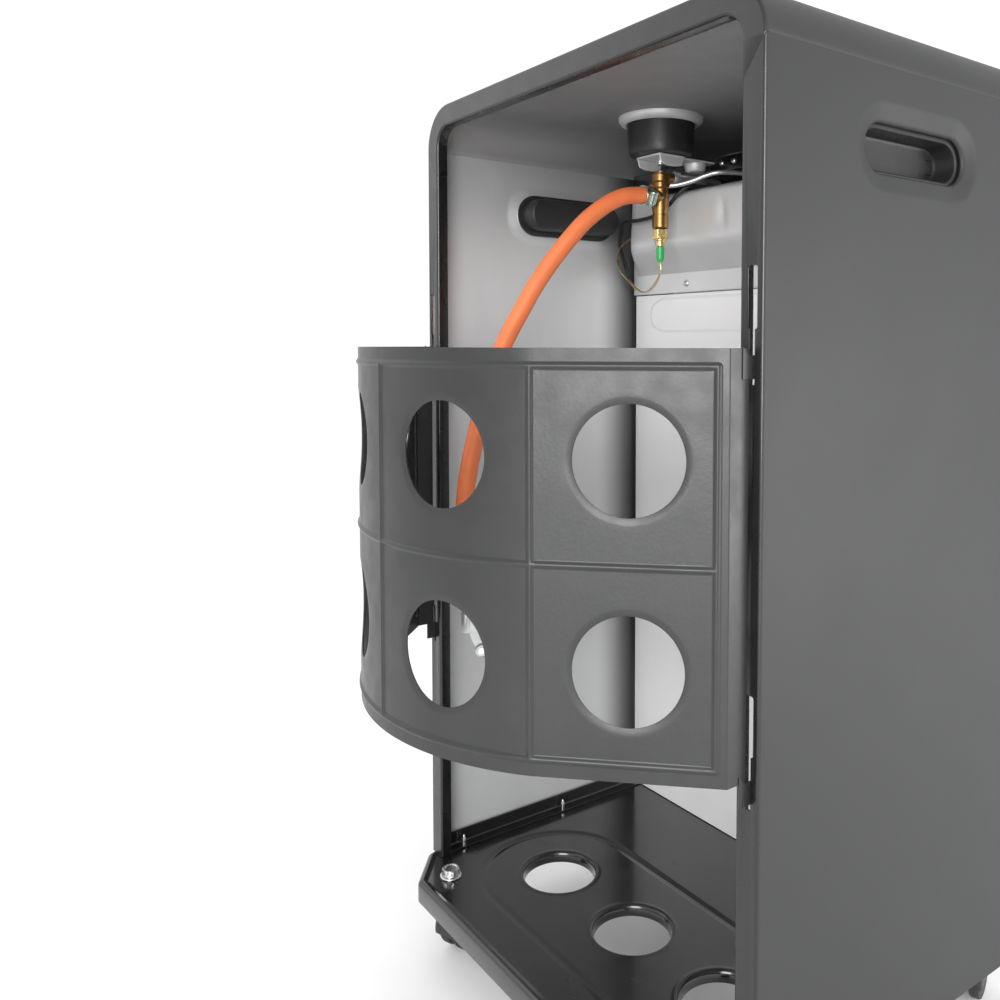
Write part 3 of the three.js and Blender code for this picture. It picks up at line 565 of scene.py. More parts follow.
def grip_cup(name, side):
    outward = flat((side * HALF, 0, 0), (0, 1, 0), (0, 0, 1), (side, 0, 0))
    rows = rings([(GRIP_HALF[0] + d, GRIP_HALF[1] + d, GRIP_HALF[1] + d, h) for d, h in CUP], outward, GRIP_AT)
    lines = [(-41, 5), (-49, 5), (-49, -5), (-41, -5)]
    tab = sweep(circle(0.45, 8), [outward(GRIP_AT[0] + a, GRIP_AT[1] + b, -24.9) for a, b in lines], (side, 0.2, 0.3))
    under, over = rows[6], rows[7]
    parts = [patch(rows[:7], wrap=True), patch(rows[7:], wrap=True), fill([under], (-side, 0, 0)),
             fill([over], (side, 0, 0)), *tab]
    return piece(name + "_moulding", parts, moulded_black, instead=[name], bevel=0.0)


grip_cup("handle_cup_left", -1)
grip_cup("handle_cup_right", 1)

# %% [markdown]
# ## The bottle guard
# One wide sheet, curved in the middle and straight at its wings, hooks onto the rear flanges and keeps the
# bottle in. It is drawn on its own flat development: s runs along the sheet from the middle, z runs up, and
# h stands out of it. A function rolls that development into its real plan. Half-round beads stiffen it along
# the frame, the middle and both rib lines, and every field has one round hole.

# %% Roll of the guard
GUARD_R = 187.0
GUARD_RIB = np.array([118.0, 100.0])
GUARD_END = np.array([203.0, 18.0])
GUARD_Z = (294.0, 551.0)
GUARD_HALF_ANGLE = np.arcsin(GUARD_RIB[0] / GUARD_R)
GUARD_CENTRE_Y = GUARD_RIB[1] - GUARD_R * np.cos(GUARD_HALF_ANGLE)
SKIN = -1.5


def guard_line():
    """Half the guard's plan from the middle outwards: arc, straight wing, small bend, return flange."""
    a = np.linspace(0, GUARD_HALF_ANGLE, 80)
    curve = np.stack([GUARD_R * np.sin(a), GUARD_CENTRE_Y + GUARD_R * np.cos(a)], -1)
    along = (GUARD_END - GUARD_RIB) / np.linalg.norm(GUARD_END - GUARD_RIB)
    outward = np.array([-along[1], along[0]])
    lean = np.degrees(np.arctan2(outward[1], outward[0]))
    bend = 3.0
    start = GUARD_END - along * bend * np.tan(np.radians(lean / 2))
    corner = arc(start - outward * bend, bend, lean, 0, 6)
    return np.vstack([curve, GUARD_RIB + along * 0.5, start - along * 0.5, corner, [[GUARD_END[0], 2.0]]])


line = guard_line()
line_s = np.concatenate([[0], np.cumsum(np.linalg.norm(np.diff(line, axis=0), axis=1))])
line_t = np.gradient(line, line_s, axis=0)
line_t /= np.linalg.norm(line_t, axis=1)[:, None]


def guard_place(s, z, h):
    """Development to cabinet: the plan point at |s|, mirrored for s < 0, moved h along its normal."""
    s, z, h = np.broadcast_arrays(np.asarray(s, float), z, h)
    x, y, tx, ty = (np.interp(np.abs(s), line_s, c) for c in (*line.T, *line_t.T))
    return np.stack([np.sign(s) * (x - ty * h), y + tx * h, z + 0 * h], -1)


print("guard sheet from flange to flange", round(2 * line_s[-1], 1))

# %% Fields, frame and return flanges
ARC_S = GUARD_R * GUARD_HALF_ANGLE
WING_S = ARC_S + np.linalg.norm(GUARD_END - GUARD_RIB)
FRAME_S = WING_S - 7.5
FRAME_Z = (304.5, 422.5, 540.5)
GUARD_HOLE_R = 33.5
BEAD = 2.5
BEAD_HEIGHT = 1.4
STEPS = [0, 0.5, 1.0, 1.5, 2.0, 2.5, 3.0]


def bead(distance):
    """Half of a rounded rib: a cosine to the power 1.3, from its height on the crest to 0 at its foot."""
    return BEAD_HEIGHT * np.cos(np.pi / 2 * np.clip(np.asarray(distance) / BEAD, 0, 1)) ** 1.3


def guard_field(s0, s1, z0, z1, hole_s, hole_z):
    """Rings from a field's edge, on the crest of the beads, to its hole, whose edge is drawn in softly."""
    a, b = (s1 - s0) / 2, (z1 - z0) / 2
    centre = np.array([(s0 + s1) / 2, (z0 + z1) / 2])
    hole = np.array([hole_s, hole_z])
    specs = [(a - d, b - d, 0.0, SKIN + bead(d), *centre) for d in STEPS]
    inner, outer = np.array([GUARD_HOLE_R + 5] * 3), np.array([a - 5, b - 5, 1.5])
    for f in (0, 0.3, 0.6, 0.85):
        specs.append((*(outer + f * (inner - outer)), SKIN, *(centre + f * (hole - centre))))
    for d, h in [(5, 0), (3.8, -0.1), (2.6, -0.3), (1.5, -0.55), (0.6, -0.8), (0, -1.0)]:
        r = GUARD_HOLE_R + d
        specs.append((r, r, r, SKIN + h, *hole))
    return patch(rings(specs, guard_place), wrap=True)


def guard_grid(s, z):
    """A grid of the border: the bead's height falls with the distance from the frame's outline."""
    s, z = np.meshgrid(s, z, indexing="ij")
    away = np.hypot(np.clip(np.abs(s) - FRAME_S, 0, None), np.clip(np.abs(z - FRAME_Z[1]) - 118, 0, None))
    return patch(guard_place(s, z, SKIN + bead(away)))


def bottle_guard():
    parts = []
    hole_s = [ARC_S / 2, ARC_S + 59.0]
    for side in (-1, 1):
        for column, (s0, s1) in enumerate([(0, ARC_S), (ARC_S, FRAME_S)]):
            for row, hole_z in enumerate((360, 485)):
                low, high = sorted((side * s0, side * s1))
                parts.append(guard_field(low, high, FRAME_Z[row], FRAME_Z[row + 1], side * hole_s[column], hole_z))
    stops = [-FRAME_S, -ARC_S, 0, ARC_S, FRAME_S]
    across = np.unique(np.concatenate([np.linspace(a, b, 25) for a, b in zip(stops, stops[1:])]).round(6))
    upright = np.unique(np.concatenate([np.linspace(a, b, 25) for a, b in zip(FRAME_Z, FRAME_Z[1:])]).round(6))
    edge = np.array([0.5, 1.0, 1.5, 2.0, 2.5, 3.0, 9.6, 10.5])
    above, below = FRAME_Z[2] + np.append(0, edge), FRAME_Z[0] - np.append(0, edge)
    parts += [guard_grid(across, above), guard_grid(across, below)]
    outer = np.concatenate([FRAME_S + np.append(0, edge[:6]), line_s[line_s > FRAME_S + 4]])
    whole = np.concatenate([below[:0:-1], upright, above[1:]])
    parts += [guard_grid(outer, whole), guard_grid(-outer, whole)]
    return piece("guard_sheet", parts, satin_black, body="guard", instead=["bottle_guard"],
                 sheet=1.2, bevel=0.35, sharp=60)


bottle_guard()

# %% [markdown]
# The guard's flanges end in hooks: a neck through each keyhole and a tongue that drops behind the sheet.

# %% Guard hooks
HOOK_Z = (277, 530)


def guard_hooks():
    parts = []
    for side in (-1, 1):
        for z in HOOK_Z:
            outline = np.array([(8, z + 3), (8, z + 22), (3, z + 17), (-6, z + 17), (-6, z), (-3, z), (-3, z + 3)])
            parts += prism(outline, flat((0, 0, 0), (0, 1, 0), (0, 0, 1)), side * 200.9, side * 202.3)
    return piece("guard_hooks", parts, satin_black, body="guard", bevel=0.2)


guard_hooks()

# %% [markdown]
# ## The floor tray
# A glossy enamelled tray carries the bottle. Its holes are flanged downwards so that nothing snags, a long
# stadium-shaped channel locates the bottle's foot, and its free rear edge is rolled over and turned down.

# %% Floor tray
FLOOR = 72.5
TRAY_HALF = 206.2
TRAY_FRONT = FRONT + 2.5
HOLE_R = 32.0
HOLE_X = 106.0
HOLE_Y = -75.0
TRAY_EDGE = [(9.5, 0), (9, 0), (8, 0.1), (7, 0.45), (6, 1.0), (5, 1.35), (4, 1.45), (2.6, 1.2), (1.4, 0.4), (0.5, -0.8),
             (0, -2.6), (0, -16.5)]
HOLE_EDGE = [(7, 0), (5.2, 0.15), (3.8, 0.45), (2.6, 0.4), (1.5, -0.2), (0.8, -1.2), (0.3, -2.6), (0, -4.4), (-0.1, -9)]
tray_place = flat((0, 0, FLOOR), (1, 0, 0), (0, 1, 0))


def tray_rim():
    """The rear edge as rows of inset e: each corner is an arc about a centre 10 in from both sides."""
    corners = np.array([(TRAY_HALF, -3), (TRAY_HALF, 6), (168, 36), (-168, 36), (-TRAY_HALF, 6), (-TRAY_HALF, -3)], float)
    along = np.diff(corners, axis=0)
    angles = np.degrees(np.arctan2(-along[:, 0], along[:, 1]))
    rows = []
    for e, h in TRAY_EDGE:
        line = []
        for k in range(1, len(corners) - 1):
            n1, n2 = (np.array([np.cos(a), np.sin(a)]) for a in np.radians([angles[k - 1], angles[k]]))
            centre = corners[k] - 10 * (n1 + n2) / (1 + n1 @ n2)
            line.append(arc(centre, 10 - e, angles[k - 1], angles[k], 6))
        line = np.vstack([[corners[0] - [e, 0]], *line, [corners[-1] + [e, 0]]])
        rows.append(tray_place(line[:, 0], line[:, 1], h))
    return np.array(rows)


def tray_channel():
    """A stadium channel, cos squared in section, that dies away on the side of the open bay."""
    d = np.linspace(5.5, -5.5, 11)
    rows = rings([(175 + e, 69 + e, 69 + e, 0) for e in d], tray_place, (0, HOLE_Y), 128)
    depth = 1.5 * np.cos(np.pi * d / 11)[:, None] ** 2
    fade = 1 - 0.75 * np.clip((rows[..., 1] - HOLE_Y) / 60, 0, 1)
    rows[..., 2] -= depth * fade
    return rows


def floor_tray():
    rim, channel = tray_rim(), tray_channel()
    holes = [rings([(HOLE_R + d, HOLE_R + d, HOLE_R + d, h) for d, h in HOLE_EDGE], tray_place, (x, HOLE_Y))
             for x in (-HOLE_X, 0, HOLE_X)]
    side = TRAY_HALF - 1.3
    corners = tray_place(*np.array([[-side, -3], [-side, TRAY_FRONT], [side, TRAY_FRONT], [side, -3]]).T, 0)
    parts = [fill([np.vstack([rim[0], corners]), channel[0]], (0, 0, 1)), patch(rim), patch(channel, wrap=True),
             fill([channel[-1], *[h[0] for h in holes]], (0, 0, 1))]
    parts += [patch(h, wrap=True) for h in holes]
    return piece("tray_pressing", parts, enamel, instead=["floor_tray"], sheet=SHEET)


floor_tray()

# %% Angles along the tray's sides and front
def tray_angles():
    """L-sections in (distance inwards, height), carried along the tray's two sides and its front."""
    section = np.vstack([[(12, 0.1)], [(0, 0.1)], [(0, 13.5)], [(1.4, 13.5)], arc((2.9, 3.0), 1.5, 180, 270, 3), [(12, 1.5)]])
    parts = []
    for side in (-1, 1):
        place = flat((side * 205.9, 0, FLOOR), (-side, 0, 0), (0, 0, 1), (0, 1, 0))
        parts += prism(section, place, TRAY_FRONT + 1, -4)
    front = flat((0, TRAY_FRONT + 0.2, FLOOR), (0, 1, 0), (0, 0, 1), (1, 0, 0))
    parts += prism(section, front, -193, 193)
    return piece("tray_angles", parts, enamel, bevel=0.25)


tray_angles()

# %% [markdown]
# ## The wall behind the bottle
# A plain galvanised panel closes the bay, stiffened by one long pressed field. Above it the heat shield
# stands forward of the burner box: a faceted pressing with sloping ends, folded from the same sheet.

# %% Inner panel
WALL = -241.0
wall_place = flat((0, WALL, 0), (1, 0, 0), (0, 0, 1), (0, 1, 0))


def inner_panel():
    steps = [(1.6, 0), (0.9, 0.12), (0.2, 0.5), (-0.6, 1.0), (-1.4, 1.3), (-2.4, 1.4)]
    field = rings([(179 + d, 17 + d, 17 + d, h - 1.5) for d, h in steps], wall_place, (0, 584))
    border = wall_place(*np.array([[-204, 73.4], [204, 73.4], [204, 605.0], [-204, 605.0]]).T, -1.5)
    parts = [fill([border, field[0]], (0, 1, 0)), patch(field, wrap=True), fill([field[-1]], (0, 1, 0))]
    return piece("bay_wall", parts, panel_zinc, instead=["inner_panel"], sheet=0.8)


inner_panel()

# %% Heat shield
def heat_shield():
    """Height = 34.5 x soft minimum of four ramps and 1: (sum of ramp^-9)^(-1/9), less one small dent."""
    x, z = np.meshgrid(np.linspace(-205, 205, 180), np.linspace(605.9, 706, 70), indexing="ij")
    ramps = [(x + 203) / 33, (198 - x) / 26, (z - 626) / 24, (706.5 - z) / 8.5, np.ones_like(x)]
    rise = sum(np.clip(r, 0.02, None) ** -9.0 for r in ramps) ** (-1 / 9) - 0.02
    dent = 2.2 * np.exp(-((x - 38 - 0.12 * (z - 672)) / 5) ** 2 - ((z - 672) / 13) ** 2)
    lean = 3.0 * np.clip((z - 650) / 50, 0, 1) * np.clip(rise, 0, 1)
    y = WALL + 34.5 * np.clip(rise, 0, 1) - dent - lean
    return piece("shield_pressing", [patch(np.stack([x, y, z], -1))], galvanised,
                 instead=["heat_shield"], sheet=0.9)


heat_shield()

# %% [markdown]
# ## Screws
# Sheet-metal screws hold the shield, the rail and the tray. Each is turned from one profile; the upright
# ones show only their tips, where they come up through the tray's angles.

# %% Pan-head screws and screw tips
HEAD = [(0, 2.3), (1.2, 2.25), (2.4, 1.9), (3.2, 1.2), (3.6, 0.4), (3.6, 0), (0, 0)]
WASHER = [(3.4, 0), (5.0, 0), (5.0, 0.5), (3.4, 0.6)]
TIP = [(2.0, 0), (2.0, 4.6), (1.5, 4.9), (1.9, 5.3), (1.4, 5.7), (1.7, 6.1), (1.1, 6.7), (1.3, 7.2), (0.6, 8.6), (0, 9.4)]


def screws(name, places, facing, looks, scale=1.0):
    parts = []
    for at in places:
        parts.append(turned(np.array(HEAD) * scale, at, facing, 24))
    return piece(name, parts, looks, sharp=50)


screws("shield_screws", [(121, WALL + 1, 615), (-121, WALL + 1, 615), (0, WALL + 1, 615)], (0, 1, 0), bright_zinc)
screws("rail_screws", [(x, WALL + 0.2, 727) for x in (73, 57, -73, -57)], (0, 1, 0), bright_zinc, 0.8)
tips = [turned(TIP, (side * 199.5, y, FLOOR + 1.4), count=16) for side in (-1, 1) for y in (-28, -143, -258)]
piece("tray_screw_tips", tips, bright_zinc, sharp=50)

# %% [markdown]
# ## Cross rail
# A black angle ties both sides under the top; the gas pipe and the ignition lead pass below it.

# %% Cross rail
def cross_rail():
    section = np.vstack([[(0, 719)], [(0, 733)], [(-24, 733)], [(-24, 731.6)], arc((-2.9, 730.1), 1.5, 90, 0, 3), [(-1.4, 719)]])
    place = flat((0, WALL, 0), (0, 1, 0), (0, 0, 1), (1, 0, 0))
    return piece("top_rail", prism(section, place, -207.4, 207.4), enamel, instead=["cross_rail"],
                 bevel=0.3)


cross_rail()

# %% [markdown]
# ## Knob, bowl and collar
# The knob sits in a moulded bowl sunk in the top. A galvanised collar holds the bowl from below.

# %% Bowl and collar
BOWL = [(7, 729), (26, 729), (28.5, 729.5), (29.6, 731), (30.2, 737), (31.2, 755), (31.3, 766.4), (35.6, 766.4),
        (36.9, 766.9), (36.6, 767.7), (34, 768), (30.2, 768), (29.2, 767.2), (28.8, 745), (28.4, 733), (27, 731), (7, 731),
        (7, 729)]
COLLAR = [(31.7, 758.6), (33, 757.2), (37, 758.2), (39.4, 761.2), (39.6, 764.2), (38.4, 764.3), (37.4, 761.6), (34, 760.2),
          (31.9, 764.2), (31.7, 758.6)]
at_valve = (*VALVE, 0)
piece("bowl_moulding", [turned(BOWL, at_valve, count=96)], moulded_black, instead=["control_bowl"])
piece("collar_pressing", [turned(COLLAR, at_valve, count=96)], plain_zinc, instead=["bowl_collar"])

# %% Knob with finger flutes
def knob():
    """Rings whose radius waves twelve times round, deepest at the grip: r - depth (1 + cos 12 a) / 2."""
    a = 2 * np.pi * np.arange(144) / 144
    profile = [(4.2, 739, 0), (24.6, 739, 0), (25.4, 740, 0), (25.5, 743, 0), (24.9, 745, 1.2), (24.2, 769, 1.4),
               (23.6, 772, 1.2), (22, 773.6, 0.6), (19, 774.2, 0), (8, 774.2, 0), (0, 774.2, 0)]
    rows = []
    for r, z, depth in profile:
        radius = r - depth * (1 + np.cos(12 * a)) / 2
        rows.append(np.stack([VALVE[0] + radius * np.cos(a), VALVE[1] + radius * np.sin(a), z + 0 * a], -1))
    rows = np.array(rows)
    bore = turned([(4.2, 739), (4.2, 742.4), (0, 742.4)], at_valve, count=144)
    place = flat((VALVE[0], VALVE[1], 774.0), (1, 0, 0), (0, 1, 0))
    mark = prism(ring(1.1, 6, 1.0, 24) + [0, -14], place, 0, 1.0)
    piece("knob_pointer", mark, finish("pointer_white", (0.75, 0.75, 0.73), 0.45, grain=(0.5, 0.01)),
          body="knob", bevel=0.2)
    return piece("knob_moulding", [patch(rows, wrap=True), bore], moulded_black, body="knob",
                 instead=["control_knob"], sharp=45)


knob()
spindle = [(0, 721.5), (3.3, 721.5), (3.5, 722), (3.5, 741), (3.2, 741.5), (0, 741.5)]
piece("spindle_rod", [turned(spindle, at_valve, count=32)], bright_zinc, body="spindle", instead=["valve_spindle"])

# %% [markdown]
# ## The gas valve
# A brass body turned and drilled: a barrel with collars, a boss to the hose, a boss to the burner pipe, and
# below it a bright union nut, a ferrule and the green sleeve of the flame-failure magnet.

# %% Valve body, nut and sleeve
BARREL = [(0, 661.9), (6.2, 661.9), (7.3, 662.6), (7.6, 664.5), (7.6, 674), (7.1, 674.6), (7.1, 678), (7.9, 679), (7.9, 698),
          (7.2, 699.6), (6.4, 700.2), (6.4, 704.6), (7.2, 705.2), (8.2, 705.8), (8.2, 712), (7.4, 712.8), (5.4, 713.2),
          (5.4, 715.4), (0, 715.4)]


def hexagon(radius):
    """Six corners of a nut's outline: r (cos a, sin a), a in steps of 60 degrees."""
    return circle(radius, 6)


def valve():
    x, y = VALVE
    boss = [(0, 2), (7.6, 2), (7.6, 7.6), (6.6, 8.2), (6.6, 11.3), (0, 11.3)]
    barb = [(0, 0), (6.9, 0), (6.9, 3), (6.2, 3.4), (6.2, 11.4), (0, 11.4)]
    parts = [turned(BARREL, at_valve, count=64), turned(boss, (x, y, 691), (0, 1, 0), 48),
             turned([(0, 0), (5.1, 0), (5.1, 14), (0, 14)], (x, y, 711), (0, -1, 0), 32),
             turned([(0, 0), (4.9, 0), (4.9, 11), (4.1, 12), (0, 12)], (x, y, 703), (1, 0, 0), 32)]
    side_nut = flat((x - 7.2, y, 703), (0, 1, 0), (0, 0, 1), (-1, 0, 0))
    parts += prism(hexagon(4.2), side_nut, 0, 2.2)
    piece("valve_barrel", parts, brass, instead=["valve_body"], bevel=0.25, sharp=30)
    piece("hose_tail", [turned(barb, (x, y + 8, 691), (0, 1, 0), 40)], brass, bevel=0.2)
    nut_place = flat((x, y, 0), (1, 0, 0), (0, 1, 0))
    nut = prism(hexagon(7.5), nut_place, 652.2, 661.2)
    ferrule = turned([(0, 645), (4.0, 645), (4.6, 645.8), (4.6, 650), (5.4, 650.6), (5.4, 652.3), (0, 652.3)], at_valve, count=32)
    piece("magnet_union", [*nut, ferrule], fresh_brass, instead=["magnet_nut"], bevel=0.4, sharp=30)
    sleeve = [(0, 630.8), (1.9, 630.8), (2.9, 631.6), (3.5, 634), (3.8, 640), (3.8, 644.7), (0, 644.7)]
    piece("magnet_sleeve", [turned(sleeve, at_valve, count=32)], green_plastic, instead=["magnet_plug"])


valve()

# %% Valve bracket
def valve_bracket():
    """A channel under the bowl with two turned-down cheeks, and an arm forward to the rail with its boss."""
    x, y = VALVE
    top = flat((x, y, 726.6), (1, 0, 0), (0, 1, 0))
    parts = prism(ring(17.5, 16.5, 3, 48), top, 0, 1.9)
    cheek = np.array([(-15, -0.2), (-12, -7.5), (-4, -9), (6, -9), (13, -7), (15, -0.2)])
    for side in (-1, 1):
        parts += prism(cheek, flat((x + side * 15.6, y, 727), (0, 1, 0), (0, 0, 1), (1, 0, 0)), -0.8, 0.8)
    parts += prism(ring(13.5, 22, 4, 48) + [0, -37], top, 0.05, 1.85)
    boss = [(0, -8.2), (7.5, -8.2), (9.5, -6.5), (10.5, -2), (10.5, 0), (0, 0)]
    parts.append(turned(boss, (x - 2, y - 42, 726.7), count=40))
    return piece("bracket_pressing", parts, plain_zinc, instead=["valve_bracket"], bevel=0.5)


valve_bracket()

# %% [markdown]
# ## Pipe, thermocouple and lead
# The aluminium pipe takes gas forward to the injector. Two thin wires of the thermocouple twist down from the
# green sleeve in a loop, and the black ignition lead crosses behind the valve.

# %% Burner pipe, thermocouple wires and ignition lead
FEED = [(93, -195.3, 711), (93, -215, 711.5), (93, -240, 712.3), (96, -258, 712), (115, -266, 711), (145, -268, 708),
        (163, -268, 694), (168, -268, 670), (168, -268, 610), (167, -268, 566), (160, -268, 549), (143, -268, 543),
        (110, -268, 543), (75, -268, 543)]
THERMOCOUPLE = [(93, -181, 630.7), (94, -182, 622), (103, -185, 613), (116, -188, 606.5), (129, -191, 604.6),
                (145, -196, 608), (163, -200, 617), (180, -203, 627), (191, -206, 639), (195, -211, 651),
                (195.5, -218, 659), (194, -226, 664.5), (193, -231, 667)]
LEAD = [(60, -285, 715.2), (61, -278, 712.6), (64, -262, 712.4), (69, -240, 712.6), (73, -226, 712.5), (79, -212, 708),
        (88, -200.5, 697), (101, -196.5, 685), (122, -197, 678), (146, -199.5, 677), (163, -200, 677.5),
        (177, -203.5, 677), (190, -210.5, 672), (199.5, -216, 657), (203, -227, 636), (202.8, -236, 612)]


def twin_wires():
    """Two wires a little over their own width apart, which turn round each other three times."""
    path = smooth(THERMOCOUPLE, 10)
    t = np.linspace(0, 1, len(path))[:, None]
    turn_angle = 6 * np.pi * t
    side = np.array([0.3, 0.9, 0.3]) * np.cos(turn_angle) + np.array([0.2, -0.3, 0.9]) * np.sin(turn_angle)
    gap = 0.75 * np.sin(np.pi * np.clip(t * 6, 0, 0.5))
    for name, sign, look in (("thermocouple_wire_a", 1, copper), ("thermocouple_wire_b", -1, fresh_brass)):
        piece(name, sweep(circle(0.55, 10), path + sign * gap * side, (0.2, 0.9, 0.1)), look,
              instead=["thermocouple_wire"] if sign > 0 else ())


twin_wires()
pipe_nut = prism(hexagon(6.2), flat((93, -195, 711), (1, 0, 0), (0, 0, 1), (0, -1, 0)), 0, 8)
piece("feed_union", pipe_nut, aluminium, bevel=0.5)
piece("feed_pipe", sweep(circle(3.5, 20), smooth(FEED, 8), (0.1, 0.2, 0.97)), aluminium,
      instead=["burner_feed_pipe"])
PILOT_TUBE = [(88, -186, 702), (82, -192, 702.5), (72, -202, 706), (62, -210, 710.5), (52, -219, 713), (42, -240, 713),
              (30, -260, 712), (23, -267, 708), (20, -269, 697.5)]
piece("pilot_tube", sweep(circle(2.3, 16), smooth(PILOT_TUBE, 8), (0.1, 0.2, 0.97)), aluminium)
piece("igniter_lead", sweep(circle(1.9, 12), smooth(LEAD, 8), (0.1, 0.95, 0.2)), black_sleeve,
      instead=["ignition_lead"])

# %% [markdown]
# ## Hose clips
# Two worm-drive clips grip the hose: a thin band, its raised housing and a slotted screw across it.

# %% Hose clips
def hose_clip(name, at, along, towards, node, width=9.0):
    """The band about the hose's own line, then a housing and a screw on its outer side."""
    u, v, w = axes_along(along, np.cross(along, towards))
    place = np.array(at)
    band = turned([(8.05, 0.2), (9.3, 0.2), (9.45, 0.6), (9.45, width - 0.6), (9.3, width - 0.2), (8.05, width - 0.2),
                   (8.05, 0.2)], at, along, 48)
    out = np.asarray(towards, float) / np.linalg.norm(towards)
    cross = np.cross(w, out)
    housing = prism(ring(4.6, width / 2 - 0.3, 1.2, 32), flat(place + w * width / 2, cross, w, out), 9.2, 12.6)
    barrel = turned([(0, -5.2), (2.4, -5.2), (2.7, -4.8), (2.7, 4.6), (3.7, 4.6), (3.9, 5.2), (3.9, 7.4), (3.5, 7.8), (0, 7.8)],
                    place + w * width / 2 + out * 11.6, cross, 24)
    return piece(name, [band, *housing, barrel], passivated, instead=[node], bevel=0.25, sharp=35)


hose_clip("clip_at_valve", (93.1, -167.2, 691), (0.036, 1, 0), (-0.9, 0, -0.43), "valve_hose_clamp")
clip_low = hose_clip("clip_at_regulator", (119.1, 9.1, 358), (5, 0.5, 27), (-0.7, 0.7, 0), "regulator_hose_clamp", 8.0)

# %% Parts drawn about their own origin
def moved(parts, at, yaw=0.0):
    """Parts turned by yaw about z and set down at a point: p' = R p + at."""
    c, s = np.cos(yaw), np.sin(yaw)
    spin = np.array([[c, -s, 0], [s, c, 0], [0, 0, 1]])
    return [(np.asarray(p) @ spin.T + at, f) for p, f in parts]


# %% [markdown]
# ## The regulator
# A die-cast pressure regulator hangs from the hose: a round body, a cover held by four screws, a tail for the
# hose, a knurled ring that grips the bottle's valve behind it, and a black tap in front.

# %% Regulator
REG_AT = (117.6, 9, 351.2)
REG_YAW = np.arctan2(0.7925, 0.6099)
DISC = (-31, 0, -37)
cast_zinc = finish("cast_zinc", (0.5, 0.505, 0.51), 0.42, metallic=0.85, cloud=(12, 0.18), grain=(0.8, 0.03))
BODY = [(0, -20), (15.6, -20), (17, -19.2), (17, -11), (18.5, -9), (28, -9), (29.6, -8.2), (30, -6), (30, 2.6), (29.5, 3.8),
        (0, 3.8)]
COVER = [(0, 13), (10, 13), (10.8, 14), (13, 14), (13.8, 13.1), (19.6, 13), (21.4, 12.2), (22, 10.8), (22.4, 9), (23.5, 8.3),
         (30.4, 8.2), (31.5, 7.4), (31.5, 5), (31, 4.4), (0, 4.4)]
TAIL = [(0, -43.8), (7, -43.8), (8, -42.8), (8, -37), (7, -26), (5.4, -25), (5.4, -20), (6, -18), (6, -1), (5, -0.4), (0, -0.4)]
TAP = [(0, 14.5), (8.6, 14.5), (9, 15), (9, 18.6), (8.4, 19.4), (0, 19.4)]


def knurled_ring():
    """Coupling ring: outer radius 17.6 + 0.35 cos 40 a between two plain rims, bore 13."""
    a = 2 * np.pi * np.arange(320) / 320
    profile = [(13.2, -20.5, 0), (17.2, -20.5, 0), (17.9, -21.2, 0), (17.9, -22.6, 0), (17.5, -23.2, 1), (17.5, -33.4, 1),
               (17.9, -34, 0), (17.9, -35.4, 0), (17.2, -36.2, 0), (13.8, -36.2, 0), (13.2, -35.4, 0), (13.2, -20.5, 0)]
    rows = [np.stack([DISC[0] + (r + 0.35 * k * np.cos(40 * a)) * np.cos(a), 0 * a + y,
                      DISC[2] + (r + 0.35 * k * np.cos(40 * a)) * np.sin(a)], -1) for r, y, k in profile]
    return [patch(np.array(rows), wrap=True)]


def regulator():
    def put(parts):
        return moved(parts, REG_AT, REG_YAW)
    across = (0, 1, 0)
    arm = sweep(ring(7, 7, 4.5, 32), np.array([(-24.0, 0, -37), (-12, 0, -37), (-1, 0, -37)]), (0, 1, 0))
    hex_nut = prism(hexagon(8.1), flat((0, 0, 0), (1, 0, 0), (0, 1, 0)), -36.5, -27)
    body = piece("regulator_casting", put([turned(BODY, DISC, across, 96), turned(TAIL, (0, 0, 0), count=48), *arm, *hex_nut]),
                 cast_zinc, instead=["regulator_body"], bevel=0.4, sharp=34)
    angles = np.radians([45, 135, 225, 315])
    spots = [(DISC[0] + 28.6 * np.cos(a), 0, DISC[2] + 28.6 * np.sin(a)) for a in angles]
    boss = [(0, 10.6), (4.6, 10.6), (5.6, 9.8), (5.9, 8), (5.9, 4.5), (0, 4.5)]
    cover = piece("regulator_lid", put([turned(COVER, DISC, across, 96), *[turned(boss, p, across, 32) for p in spots]]),
                  cast_zinc, instead=["regulator_cover"], sharp=34)
    head = [(0, 11.2), (2.8, 11.1), (3.3, 10.5), (3.3, 10), (0, 10)]
    lid_screws = piece("regulator_lid_screws", put([turned(head, p, across, 20) for p in spots]), bright_zinc)
    coupling = piece("bottle_coupling", put(knurled_ring()), brass, instead=["regulator_coupling"])
    grip = prism(ring(2.9, 13.4, 2.6, 48) + [0, -5.5], flat(DISC, (1, 0, 0), (0, 0, 1), (0, 1, 0)), 16, 21.3)
    tap = piece("regulator_knob", put([turned(TAP, DISC, across, 48), *grip]), moulded_black,
                body="regulator_lever", instead=["regulator_tap"], bevel=0.6)
    return [body, cover, lid_screws, coupling, tap, clip_low]


hung = regulator()

# %% [markdown]
# ## Castors
# Four twin-wheel castors with moulded hoods. Each hood is a shell turned about the axle, open below; the
# wheels run inside it on one axle, and the two rear ones carry a tread plate that brakes them.

